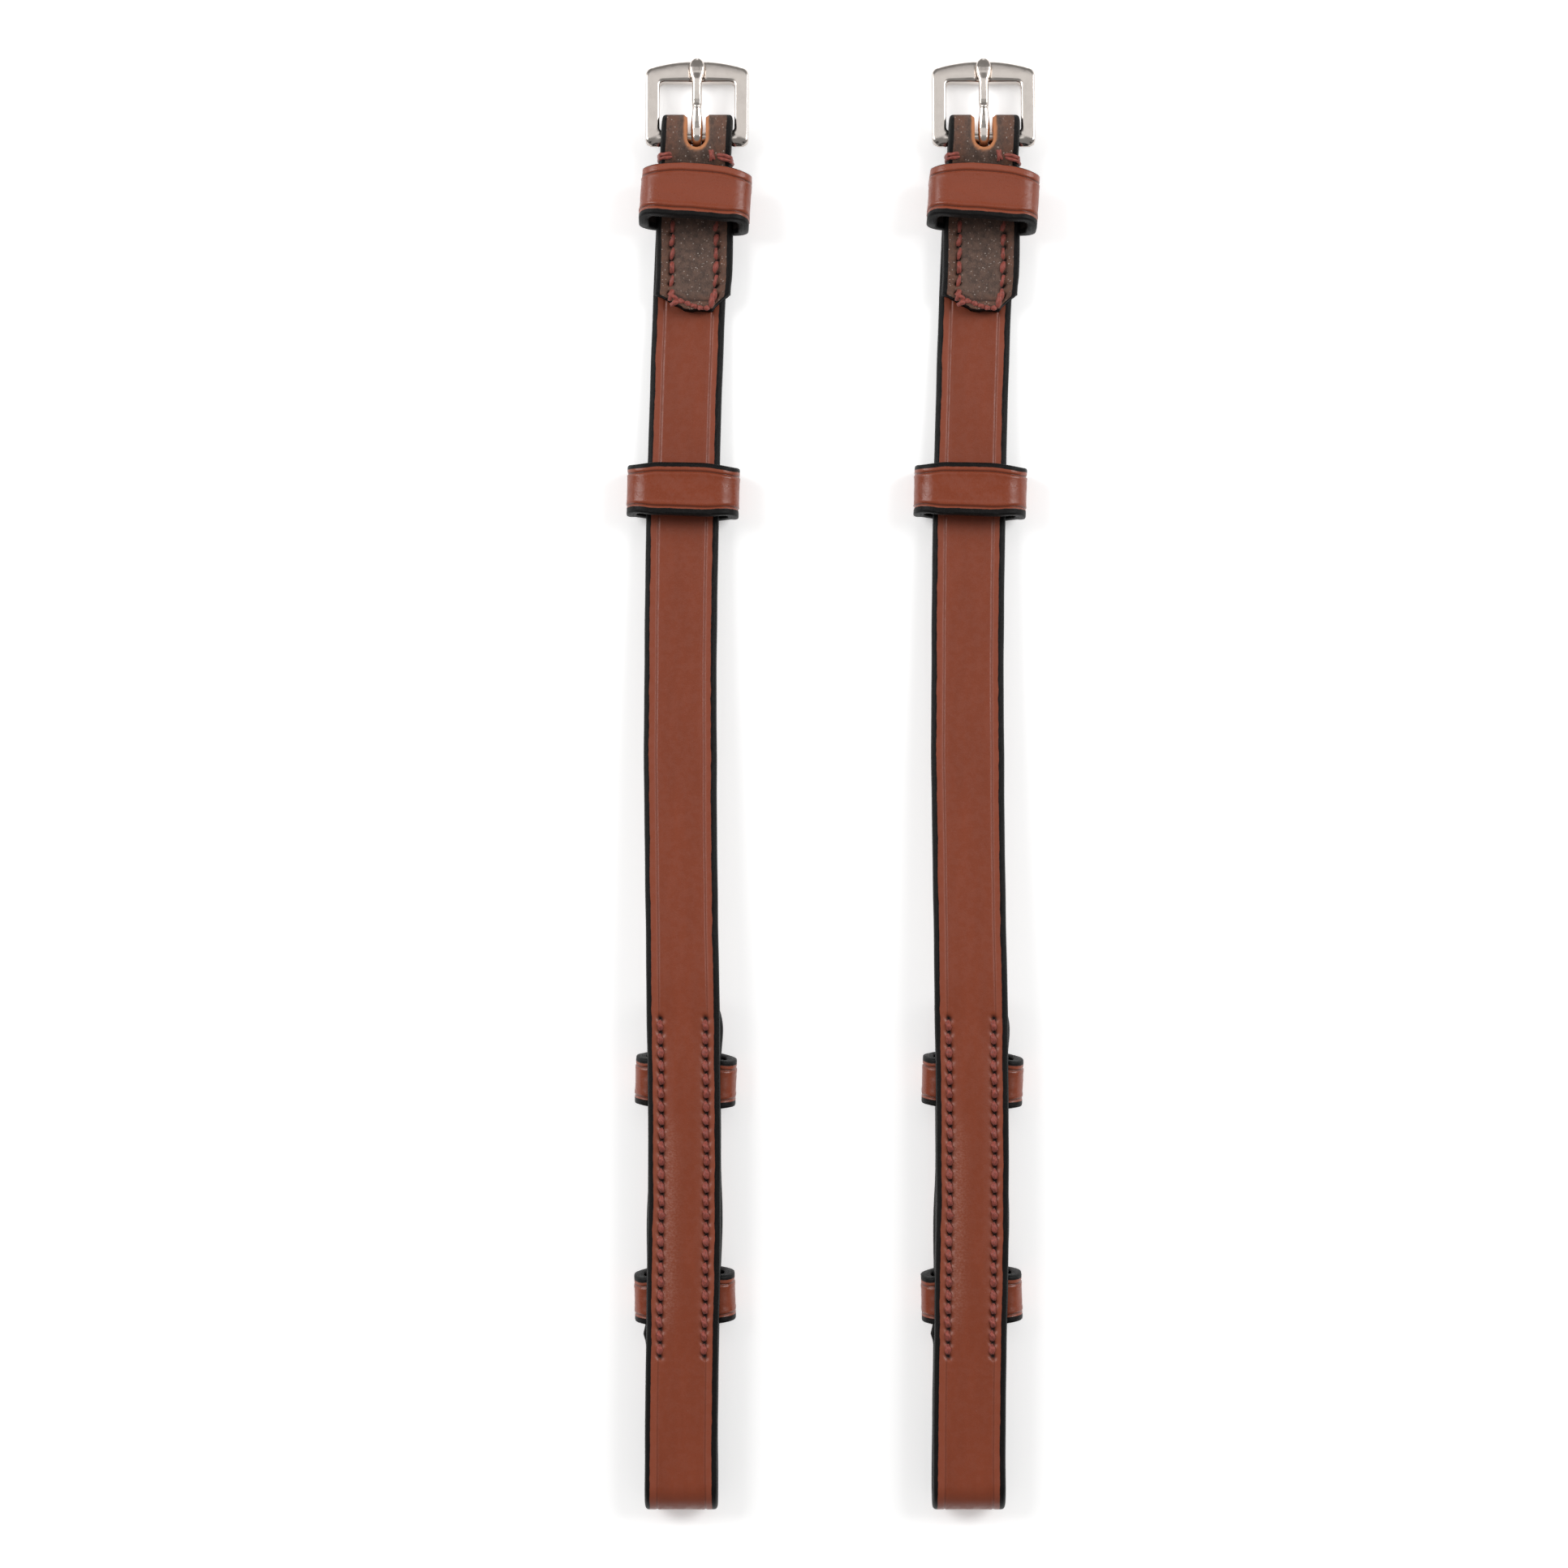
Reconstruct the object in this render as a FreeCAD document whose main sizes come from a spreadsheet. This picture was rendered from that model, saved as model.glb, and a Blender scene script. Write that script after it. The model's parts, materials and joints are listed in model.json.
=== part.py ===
import FreeCAD, Part
import math
import os

import Sketcher

# A pair of half-inch bridle cheekpieces: each is one leather strip folded round a buckle at its upper
# end and round the bit ring at its lower end, where it hooks back on to a stud.
# Millimetres. X runs across the pair, Y along the straps towards the buckles, Z up from the table.

V = FreeCAD.Vector

SIZES = {
    # the straps and where they lie
    "near_line": (-26.49, "X of the near strap's line"),
    "pair_pitch": (50.94, "distance from the near strap to the off strap"),
    "strap_width": (12.9, "half-inch strap with its dyed edges"),
    "leather": (2.8, "thickness of the strap leather"),
    "ply_gap": (0.05, "air between two stitched layers"),
    "trimmed_half": (6.2, "half width of the chape where it passes through the buckle"),
    "trim_start": (108.0, "Y where the chape starts to narrow"),
    "trim_end": (112.0, "Y where it has its trimmed width"),
    "bow_start": (10.0, "Y above which the strap bows sideways"),
    "bow_offset": (-0.5, "X of the strap's middle at bow_start"),
    "bow_radius": (1898.0, "radius of the sideways bow"),
    "lower_start": (-60.0, "Y below which the strap runs straight"),
    "lower_offset": (0.15, "X of the strap's middle below lower_start"),
    "blank_width": (40.0, "width of the strip before its outline is cut"),
    "blank_reach": (150.0, "half length of that blank"),
    # the chape, folded back over the buckle's bar
    "bar_along": (114.6, "Y of the buckle's bar"),
    "bar_radius": (1.15, "radius of the bar"),
    "bar_room": (0.2, "room between the bar and the fold"),
    "flap_end": (83.8, "Y of the flap's stitched end"),
    "flap_corner": (2.9, "size of the flap's two cut corners"),
    "flap_bend": (9.0, "length over which the flap drops from the fold"),
    "slot_end": (112.6, "Y of the tongue slot's round end"),
    "slot_width": (4.2, "width of the tongue slot"),
    "slot_reach": (121.0, "Y beyond the fold where the slot's cut stops"),
    "fold_cut": (109.9, "Y past which the fold round the bar is a sub-part of its own"),
    # the run from the chape up to the lower end
    "climb_start": (82.0, "Y where the strap leaves the table"),
    "climb_end": (-36.0, "Y where it lies level again"),
    "climb_radius": (40.0, "radius of the two gentle bends"),
    "lower_bottom": (7.1, "height of the strap's underside at the lower end"),
    # the bit loop and the billet that returns under the strap
    "loop_along": (-124.0, "Y of the bit loop's centre"),
    "loop_radius": (3.5, "radius of the loop's middle line"),
    "billet_bend_start": (-118.0, "Y where the billet starts to rise"),
    "billet_bend_end": (-103.0, "Y where it lies level"),
    "billet_bottom": (2.1, "height of the billet's underside"),
    "billet_bend_radius": (24.0, "radius of those two bends"),
    "billet_tip": (-35.9, "Y of the billet's tip"),
    "tip_length": (9.0, "length of the pointed tip"),
    "tip_half": (2.0, "half width of the tip's blunt end"),
    "billet_hole": (2.0, "radius of the stud hole"),
    "slit_length": (9.0, "length of the slit beside the hole"),
    "slit_width": (0.6, "width of that slit"),
    # the lining sewn under the strap
    "lining_top_end": (-39.4, "Y of the lining's upper end"),
    "lining_low_end": (-103.4, "Y of its lower end"),
    "lining_bottom": (4.95, "height of its underside"),
    "lining_leather": (2.1, "its thickness"),
    "lining_half": (6.3, "its half width"),
    "post_hole": (1.3, "radius of the stud's hole in the lining"),
    # keepers
    "keeper_width": (9.4, "length of the fixed keepers along the strap"),
    "keeper_leather": (1.9, "thickness of the keeper leather"),
    "keeper_lap": (0.8, "thickness of the pared lap between two layers"),
    "lap_room": (0.03, "room round that lap"),
    "outer_round": (3.0, "outer corner radius of a keeper"),
    "inner_round": (0.5, "inner corner radius of a keeper"),
    "chape_keeper_along": (104.8, "Y of the keeper on the chape"),
    "chape_keeper_across": (2.24, "its X from the strap's line"),
    "chape_keeper_half": (9.75, "its outer half width"),
    "chape_keeper_top": (12.1, "height of its top"),
    "upper_keeper_along": (-52.7, "Y of the upper keeper under the billet"),
    "upper_keeper_across": (0.45, "its X from the strap's line"),
    "lower_keeper_along": (-91.0, "Y of the lower keeper"),
    "lower_keeper_across": (0.29, "its X from the strap's line"),
    "rear_keeper_half": (8.95, "outer half width of both"),
    "runner_along": (51.5, "Y of the sliding runner"),
    "runner_width": (9.8, "its length along the strap"),
    "runner_half": (9.95, "its outer half width"),
    "runner_leather": (1.9, "its thickness"),
    "runner_lap": (1.3, "thickness of its pared lap underneath"),
    "runner_room": (0.1, "room between its lap and the strap"),
    "runner_height": (6.2, "height inside it"),
    # the buckle
    "buckle_across": (2.42, "X of the buckle's middle from the strap's line"),
    "frame_tilt": (-12.4, "slope of the frame towards the table, degrees"),
    "frame_half": (9.15, "half width of the frame"),
    "window_half": (6.65, "half width of the window in it"),
    "frame_foot": (-1.64, "end of the side arms beyond the bar"),
    "crown_radius": (27.6, "radius of the frame's arched crown"),
    "frame_crown": (14.16, "height of the crown from the bar"),
    "rail_inner": (10.25, "height of the window's upper edge"),
    "frame_thick": (2.4, "thickness of the frame"),
    "frame_corner": (0.9, "corner radius of its outline"),
    "frame_round": (0.55, "radius along its edges"),
    "seat_radius": (2.6, "radius of the tongue's seat in the crown"),
    "seat_depth": (0.45, "depth of that seat"),
    "tongue_room": (0.08, "running room of the tongue's eye on the bar"),
    "tongue_eye": (2.05, "outer radius of the eye"),
    "tongue_width": (2.3, "width of the tongue at its leaf"),
    "tongue_shank": (1.9, "width of its shank"),
    "tongue_low": (1.2, "height of its underside over the frame's middle plane"),
    "tongue_high": (2.5, "height of its top"),
    "tongue_length": (14.4, "length from the bar to the tip"),
    # the hook stud
    "stud_along": (-71.9, "Y of the stud's post"),
    "post_radius": (1.1, "radius of the post"),
    "stud_plate": (0.75, "thickness of the plate between lining and strap"),
    "stud_plate_radius": (3.2, "radius of that plate"),
    "hook_bottom": (0.3, "height of the hook's underside"),
    "hook_top": (1.9, "height of its top"),
    "hook_half": (1.9, "half width of the hook"),
    "hook_length": (7.0, "length of the hook towards the buckle"),
    # thread
    "thread_radius": (0.45, "radius of the waxed thread"),
    "stitch_length": (1.65, "length of a stitch on the surface"),
    "stitch_pitch": (2.385, "distance from one stitch to the next"),
    "row_inset": (2.5, "distance of a row from the strap's edge"),
    "first_stitch": (-42.8, "Y of the first stitch on the lower end"),
    "row_count": (25, "stitches in each of its rows"),
    "chape_row_start": (96.5, "Y of the first stitch on the chape"),
    "chape_row_count": (5, "stitches in each of its rows"),
    "cross_row_along": (85.0, "Y of the row across the flap's end"),
    "cross_row_count": (3, "stitches in that row"),
    "over_edge_along": (110.9, "Y of the two stitches beside the buckle"),
}

DOC = FreeCAD.newDocument("bridle_cheekpieces")
SHEET = DOC.addObject("Spreadsheet::Sheet", "Sizes")
for row, (alias, (size, meaning)) in enumerate(SIZES.items(), start=1):
    SHEET.set(f"A{row}", alias)
    SHEET.set(f"B{row}", str(size))
    SHEET.set(f"C{row}", meaning)
    SHEET.setAlias(f"B{row}", alias)
DOC.recompute()


def cell(alias):
    """The sheet's value for one named size."""
    return float(SHEET.get(alias))


# ---- side view of a folded strip -------------------------------------------------------------------

class SideLine:
    """Middle line of a leather strip seen from the side: straight runs and tangent bends, as if drawn
    with a turning pen. Its heading is in degrees, 0 towards the buckle and 90 upwards."""

    def __init__(self, along, up, heading=0.0):
        self.point = V(along, up, 0)
        self.heading = heading
        self.steps = []

    def left_of(self):
        """Unit vector to the left of the pen."""
        angle = math.radians(self.heading)
        return V(-math.sin(angle), math.cos(angle), 0)

    def run(self, length):
        """A straight run."""
        side = self.left_of()
        end = self.point + V(side.y, -side.x, 0) * length
        self.steps.append(("run", self.point, end, side))
        self.point = end

    def bend(self, radius, turn):
        """A round bend, to the left for a positive turn."""
        hand = math.copysign(1.0, turn)
        centre = self.point + self.left_of() * (radius * hand)
        spoke = self.point - centre
        self.steps.append(("bend", centre, spoke, turn))
        self.point = centre + turned(spoke, turn)
        self.heading += turn

    def shift(self, distance, rise, radius):
        """A pair of bends that carries the line forward by distance and sideways by rise."""
        slope = slope_between(distance, abs(rise), radius)
        length = (distance - 2 * radius * math.sin(slope)) / math.cos(slope)
        turn = math.degrees(slope) * math.copysign(1.0, rise)
        self.bend(radius, turn)
        if length > 1e-6:
            self.run(length)
        self.bend(radius, -turn)

    def side(self, offset):
        """Edges parallel to the line, offset to its left."""
        edges = []
        for kind, first, second, third in self.steps:
            if kind == "run":
                edges.append((first + third * offset, second + third * offset))
            else:
                scale = 1 - math.copysign(1.0, third) * offset / second.Length
                points = [first + turned(second, third * share) * scale for share in (0, 0.5, 1)]
                edges.append(tuple(points))
        return edges

    def outline(self, thickness):
        """Closed outline of a strip of that thickness."""
        left = self.side(thickness / 2)
        right = [tuple(reversed(edge)) for edge in reversed(self.side(-thickness / 2))]
        return left + [(left[-1][-1], right[0][0])] + right + [(right[-1][-1], left[0][0])]


def slope_between(distance, height, radius):
    """Slope, in radians, of the straight run between two equal and opposite bends."""
    reach = math.hypot(distance, 2 * radius - height)
    return math.asin(2 * radius / reach) - math.atan2(2 * radius - height, distance)


def turned(vector, degrees):
    """The vector turned to the left in its own plane."""
    angle = math.radians(degrees)
    return V(vector.x * math.cos(angle) - vector.y * math.sin(angle),
             vector.x * math.sin(angle) + vector.y * math.cos(angle), 0)


def bow(along):
    """X of the strap's middle from its own line."""
    start = cell("bow_start")
    if along >= start:
        return cell("bow_offset") + (along - start) ** 2 / (2 * cell("bow_radius"))
    share = min(1.0, (start - along) / (start - cell("lower_start")))
    return cell("bow_offset") + share * (cell("lower_offset") - cell("bow_offset"))


def climb_slope():
    """Slope of the strap between the chape and the lower end, in radians."""
    return slope_between(cell("climb_start") - cell("climb_end"), cell("lower_bottom"), cell("climb_radius"))


def strap_bottom(along):
    """Height of the strap's underside on its climb."""
    middle = (cell("climb_start") + cell("climb_end")) / 2
    return cell("lower_bottom") / 2 + (middle - along) * math.tan(climb_slope())


def strap_line():
    """The whole strip from the flap's end, round the buckle's bar and the bit, to the billet's tip."""
    leather = cell("leather")
    fold = cell("bar_radius") + cell("bar_room") + leather / 2
    flap_middle = leather + cell("ply_gap") + leather / 2
    drop = cell("flap_bend")
    rise = leather / 2 + 2 * fold - flap_middle
    line = SideLine(cell("flap_end"), flap_middle)
    line.run(cell("bar_along") - drop - cell("flap_end"))
    line.shift(drop, rise, drop * 0.9)
    line.bend(fold, -180)
    line.run(cell("bar_along") - cell("climb_start"))
    line.shift(cell("climb_start") - cell("climb_end"), -cell("lower_bottom"), cell("climb_radius"))
    line.run(cell("climb_end") - cell("loop_along"))
    line.bend(cell("loop_radius"), 180)
    line.run(cell("billet_bend_start") - cell("loop_along"))
    rise = cell("billet_bottom") + leather / 2 - line.point.y
    line.shift(cell("billet_bend_end") - cell("billet_bend_start"), rise, cell("billet_bend_radius"))
    line.run(cell("billet_tip") - cell("billet_bend_end"))
    return line


# ---- sketches and features -------------------------------------------------------------------------

def new_body(label):
    """A PartDesign body whose label names its file."""
    body = DOC.addObject("PartDesign::Body", label)
    body.Label = label
    return body


def new_sketch(body, plane, height=0.0):
    """A sketch on one of the body's origin planes, raised by height."""
    sketch = body.newObject("Sketcher::SketchObject", f"{body.Label}_sketch")
    origin_plane = next(item for item in body.Origin.OriginFeatures if item.Role == plane)
    sketch.AttachmentSupport = (origin_plane, [""])
    sketch.MapMode = "FlatFace"
    sketch.AttachmentOffset = FreeCAD.Placement(V(0, 0, height), FreeCAD.Rotation())
    return sketch


def draw(sketch, edges):
    """Add edges of two points as lines and edges of three points as arcs."""
    for edge in edges:
        if len(edge) == 2:
            sketch.addGeometry(Part.LineSegment(*edge), False)
        else:
            sketch.addGeometry(Part.Arc(*edge), False)


def closed(points):
    """Straight edges round a list of points."""
    return list(zip(points, points[1:] + points[:1]))


def feature(body, kind, sketch, length, symmetric=False, reverse=False):
    """A Pad or a Pocket whose length is a formula in the sheet's names."""
    before = body.Tip.Shape.Volume if kind == "Pocket" else 0.0
    made = body.newObject(f"PartDesign::{kind}", f"{body.Label}_{kind.lower()}")
    made.Profile = sketch
    made.SideType = "Symmetric" if symmetric else "One side"
    made.Reversed = reverse
    made.setExpression("Length", length)
    made.Refine = True
    body.Tip = made
    DOC.recompute()
    if kind == "Pocket" and not made.Shape.Volume < before:
        raise RuntimeError(f"{made.Name} cuts nothing")
    return made


def circle(sketch, across, along, radius_formula, radius):
    """A circle whose radius is a formula in the sheet's names."""
    index = sketch.addGeometry(Part.Circle(V(across, along, 0), V(0, 0, 1), radius), False)
    radius_constraint = sketch.addConstraint(Sketcher.Constraint("Radius", index, radius))
    sketch.setExpression(f"Constraints[{radius_constraint}]", radius_formula)
    for kind, distance in (("DistanceX", across), ("DistanceY", along)):
        if abs(distance) > 1e-9:
            sketch.addConstraint(Sketcher.Constraint(kind, -1, 1, index, 3, distance))


def rounded_box(sketch, half, bottom, top, corner, formulas):
    """A rectangle with round corners, centred across, whose four sizes follow the sheet."""
    low, high = bottom + corner, top - corner
    flat = half - corner
    first = sketch.GeometryCount
    draw(sketch, [(V(-flat, bottom, 0), V(flat, bottom, 0)), (V(half, low, 0), V(half, high, 0)),
                  (V(flat, top, 0), V(-flat, top, 0)), (V(-half, high, 0), V(-half, low, 0))])
    for number, (across, up) in enumerate([(flat, low), (flat, high), (-flat, high), (-flat, low)]):
        start = math.radians(90 * (number - 1))
        ring = Part.Circle(V(across, up, 0), V(0, 0, 1), corner)
        sketch.addGeometry(Part.ArcOfCircle(ring, start, start + math.pi / 2), False)
    for number in range(4):
        line, arc, after = first + number, first + 4 + number, first + (number + 1) % 4
        sketch.addConstraint(Sketcher.Constraint("Tangent", line, 2, arc, 1))
        sketch.addConstraint(Sketcher.Constraint("Tangent", arc, 2, after, 1))
        sketch.addConstraint(Sketcher.Constraint("Vertical" if number % 2 else "Horizontal", line))
        if number:
            sketch.addConstraint(Sketcher.Constraint("Equal", first + 4, arc))
    driving = [Sketcher.Constraint("Radius", first + 4, corner),
               Sketcher.Constraint("DistanceX", -1, 1, first + 1, 1, half),
               Sketcher.Constraint("DistanceX", first + 3, 1, -1, 1, half),
               Sketcher.Constraint("DistanceY", -1, 1, first + 4, 3, low),
               Sketcher.Constraint("DistanceY", -1, 1, first + 5, 3, high)]
    half_formula, bottom_formula, top_formula, corner_formula = formulas
    texts = [corner_formula, half_formula, half_formula,
             f"{bottom_formula} + {corner_formula}", f"{top_formula} - {corner_formula}"]
    for constraint, text in zip(driving, texts):
        index = sketch.addConstraint(constraint)
        sketch.setExpression(f"Constraints[{index}]", text)


# ---- leather ---------------------------------------------------------------------------------------

def plan_outline():
    """Edges of the strap's outline seen from above: bowed above bow_start, straight below."""
    half = cell("strap_width") / 2
    trimmed = cell("trimmed_half")
    reach = cell("bar_along") + 8
    start, trim = cell("bow_start"), cell("trim_start")

    def wall(side):
        middle = (start + trim) / 2
        return [(V(bow(reach) + side * trimmed, reach, 0),
                 V(bow(cell("trim_end")) + side * trimmed, cell("trim_end"), 0)),
                (V(bow(cell("trim_end")) + side * trimmed, cell("trim_end"), 0),
                 V(bow(trim) + side * half, trim, 0)),
                (V(bow(trim) + side * half, trim, 0), V(bow(middle) + side * half, middle, 0),
                 V(bow(start) + side * half, start, 0)),
                (V(bow(start) + side * half, start, 0),
                 V(cell("lower_offset") + side * half, cell("lower_start"), 0)),
                (V(cell("lower_offset") + side * half, cell("lower_start"), 0),
                 V(cell("lower_offset") + side * half, cell("loop_along") - 8, 0))]

    right = wall(1)
    left = [tuple(reversed(edge)) for edge in reversed(wall(-1))]
    return right + [(right[-1][-1], left[0][0])] + left + [(left[-1][-1], right[0][0])]


def frame_of(reach_x, low_y, high_y):
    """A rectangle that holds everything to be cut away."""
    return closed([V(-reach_x, low_y, 0), V(reach_x, low_y, 0),
                   V(reach_x, high_y, 0), V(-reach_x, high_y, 0)])


def lap_recess(body, along, half_width, bottom, top):
    """Cut the room for a keeper's pared lap between two layers."""
    room = half_width + cell("lap_room")
    sketch = new_sketch(body, "YZ_Plane")
    draw(sketch, closed([V(along - room, bottom, 0), V(along + room, bottom, 0),
                         V(along + room, top, 0), V(along - room, top, 0)]))
    feature(body, "Pocket", sketch, "Sizes.blank_width", symmetric=True)


def clear_away(body, first, second, height=0, upward=None):
    """Cut away all of the strip between two Ys: right through, or only above or below a height."""
    width = cell("blank_width")
    sketch = new_sketch(body, "XY_Plane", height)
    draw(sketch, closed([V(-width, first, 0), V(width, first, 0), V(width, second, 0), V(-width, second, 0)]))
    if upward is None:
        feature(body, "Pocket", sketch, "Sizes.blank_width", symmetric=True)
    else:
        feature(body, "Pocket", sketch, "Sizes.leather * 2", reverse=upward)


def strap_blank(label):
    """The folded strip: side view padded, then cut to its outline, with the tongue's slot."""
    body = new_body(label)
    side = new_sketch(body, "YZ_Plane")
    draw(side, strap_line().outline(cell("leather")))
    feature(body, "Pad", side, "Sizes.blank_width", symmetric=True)

    around = new_sketch(body, "XY_Plane")
    reach = cell("blank_reach")
    draw(around, frame_of(cell("blank_width"), -reach, reach) + plan_outline())
    feature(body, "Pocket", around, "Sizes.blank_width", symmetric=True)

    slot = new_sketch(body, "XY_Plane")
    middle, round_end = bow(cell("bar_along")), cell("slot_width") / 2
    low, high = cell("slot_end") + round_end, cell("slot_reach")
    draw(slot, [(V(middle - round_end, low, 0), V(middle, cell("slot_end"), 0),
                 V(middle + round_end, low, 0)),
                (V(middle + round_end, low, 0), V(middle + round_end, high, 0)),
                (V(middle + round_end, high, 0), V(middle - round_end, high, 0)),
                (V(middle - round_end, high, 0), V(middle - round_end, low, 0))])
    feature(body, "Pocket", slot, "Sizes.blank_width", symmetric=True)
    return body


def chape_fold(label):
    """The end of the strip that folds round the buckle's bar, with the slot and the sewn flap."""
    body = strap_blank(label)
    end, corner, half = cell("flap_end"), cell("flap_corner"), cell("strap_width") / 2 + 1
    floor = cell("leather") + cell("ply_gap") / 2
    clear_away(body, -cell("blank_reach"), end - cell("leather"))
    clear_away(body, end - 2 * cell("leather"), cell("fold_cut"), floor, upward=False)
    corners = new_sketch(body, "XY_Plane", floor)
    for side_sign in (-1, 1):
        edge = bow(end) + side_sign * half
        draw(corners, closed([V(edge, end + corner + 1, 0), V(edge, end - 1, 0),
                              V(edge - side_sign * (corner + 2), end - 1, 0)]))
    feature(body, "Pocket", corners, "Sizes.leather * 2", reverse=True)
    room = cell("lap_room")
    lap_recess(body, cell("chape_keeper_along"), cell("keeper_width") / 2, cell("leather") + room / 2,
               cell("leather") + room + cell("keeper_lap") + room)
    return body


def cheek_strap(label):
    """The rest of the strap, with the billet's tip, stud hole and slit."""
    body = strap_blank(label)
    half = cell("strap_width") / 2 + 1
    clear_away(body, cell("fold_cut"), cell("blank_reach"))
    clear_away(body, cell("flap_end") - cell("leather") / 2, cell("fold_cut") + cell("leather"),
               cell("leather") + cell("ply_gap") / 2, upward=True)

    billet_top = cell("billet_bottom") + cell("leather")
    tip = new_sketch(body, "XY_Plane", billet_top + cell("ply_gap") / 2)
    point, middle, length = cell("billet_tip"), bow(cell("billet_tip")), cell("tip_length")
    for side_sign in (-1, 1):
        edge = middle + side_sign * half
        draw(tip, closed([V(edge, point - length, 0), V(edge, point + 1, 0),
                          V(middle + side_sign * cell("tip_half"), point + 1, 0)]))
    feature(body, "Pocket", tip, "Sizes.billet_bottom + Sizes.leather")

    hole = new_sketch(body, "XY_Plane", billet_top + cell("ply_gap") / 2)
    circle(hole, bow(cell("stud_along")), cell("stud_along"), "Sizes.billet_hole", cell("billet_hole"))
    feature(body, "Pocket", hole, "Sizes.billet_bottom + Sizes.leather")
    slit = new_sketch(body, "XY_Plane", billet_top + cell("ply_gap") / 2)
    across, slit_half = bow(cell("stud_along")), cell("slit_width") / 2
    draw(slit, closed([V(across - slit_half, cell("stud_along"), 0),
                       V(across + slit_half, cell("stud_along"), 0),
                       V(across + slit_half, cell("stud_along") + cell("slit_length"), 0),
                       V(across - slit_half, cell("stud_along") + cell("slit_length"), 0)]))
    feature(body, "Pocket", slit, "Sizes.billet_bottom + Sizes.leather")

    return body


def billet_lining(label):
    """The lining under the strap, with recesses for the keepers' laps and the stud's plate."""
    body = new_body(label)
    plan = new_sketch(body, "XY_Plane", cell("lining_bottom"))
    half = cell("lining_half")
    top_end, low_end, bend = cell("lining_top_end"), cell("lining_low_end"), cell("lower_start")
    draw(plan, closed([V(bow(top_end) + half, top_end, 0), V(bow(top_end) - half, top_end, 0),
                       V(bow(bend) - half, bend, 0), V(bow(low_end) - half, low_end, 0),
                       V(bow(low_end) + half, low_end, 0), V(bow(bend) + half, bend, 0)]))
    feature(body, "Pad", plan, "Sizes.lining_leather")
    roof = cell("lining_bottom") + cell("lining_leather")
    for station in ("upper_keeper_along", "lower_keeper_along"):
        lap_recess(body, cell(station), cell("keeper_width") / 2,
                   roof - cell("keeper_lap") - cell("lap_room"), roof + 1)
    across, along = bow(cell("stud_along")), cell("stud_along")
    seat = new_sketch(body, "XY_Plane", roof)
    circle(seat, across, along, "Sizes.stud_plate_radius + Sizes.lap_room",
           cell("stud_plate_radius") + cell("lap_room"))
    feature(body, "Pocket", seat, "Sizes.stud_plate + Sizes.lap_room")
    hole = new_sketch(body, "XY_Plane", roof)
    circle(hole, across, along, "Sizes.post_hole", cell("post_hole"))
    feature(body, "Pocket", hole, "Sizes.lining_leather")
    return body


def keeper(label, half, bottom, top, leather, laps, width, formulas):
    """A keeper: a band with round corners, thinner where its pared ends lap at its foot or its head."""
    body = new_body(label)
    foot, head = laps
    (half_formula, bottom_formula, top_formula, leather_formula,
     foot_formula, head_formula, width_formula) = formulas
    ring = new_sketch(body, "XZ_Plane")
    rounded_box(ring, half, bottom, top, cell("outer_round"),
                (half_formula, bottom_formula, top_formula, "Sizes.outer_round"))
    rounded_box(ring, half - leather, bottom + foot, top - head, cell("inner_round"),
                (f"{half_formula} - {leather_formula}", f"{bottom_formula} + {foot_formula}",
                 f"{top_formula} - {head_formula}", "Sizes.inner_round"))
    feature(body, "Pad", ring, width_formula, symmetric=True)
    return body


def chape_keeper(label):
    """The keeper on the chape: its lap is held between the flap and the strap."""
    bottom = cell("leather") + cell("lap_room")
    formulas = ("Sizes.chape_keeper_half", "(Sizes.leather + Sizes.lap_room)", "Sizes.chape_keeper_top",
                "Sizes.keeper_leather", "Sizes.keeper_lap", "Sizes.keeper_leather", "Sizes.keeper_width")
    body = keeper(label, cell("chape_keeper_half"), bottom, cell("chape_keeper_top"), cell("keeper_leather"),
                  (cell("keeper_lap"), cell("keeper_leather")), cell("keeper_width"), formulas)
    body.Placement.Base = V(cell("chape_keeper_across"), cell("chape_keeper_along"), 0)
    return body


def rear_keeper(label, place):
    """A keeper round the billet: its lap is held between the lining and the strap."""
    roof = cell("lining_bottom") + cell("lining_leather")
    foot_gap = 0.02
    formulas = ("Sizes.rear_keeper_half", str(foot_gap), "(Sizes.lining_bottom + Sizes.lining_leather)",
                "Sizes.keeper_leather", "Sizes.keeper_leather", "Sizes.keeper_lap", "Sizes.keeper_width")
    body = keeper(label, cell("rear_keeper_half"), foot_gap, roof, cell("keeper_leather"),
                  (cell("keeper_leather"), cell("keeper_lap")), cell("keeper_width"), formulas)
    body.Placement.Base = V(cell(f"{place}_across"), cell(f"{place}_along"), 0)
    return body


def runner_keeper(label):
    """The loose runner: a closed band that slides along the strap, square to its slope."""
    lift = 10.0
    formulas = ("Sizes.runner_half", f"({lift} - Sizes.runner_lap)",
                f"({lift} + Sizes.runner_height + Sizes.runner_leather)",
                "Sizes.runner_leather", "Sizes.runner_lap", "Sizes.runner_leather", "Sizes.runner_width")
    body = keeper(label, cell("runner_half"), lift - cell("runner_lap"),
                  lift + cell("runner_height") + cell("runner_leather"), cell("runner_leather"),
                  (cell("runner_lap"), cell("runner_leather")), cell("runner_width"), formulas)
    along = cell("runner_along")
    turn = FreeCAD.Rotation(V(1, 0, 0), -math.degrees(climb_slope()))
    inner_floor = V(0, along, strap_bottom(along)) - turn.multVec(V(0, 0, cell("runner_room")))
    body.Placement = FreeCAD.Placement(inner_floor - turn.multVec(V(0, 0, lift)), turn)
    return body


# ---- buckle and stud -------------------------------------------------------------------------------

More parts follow.
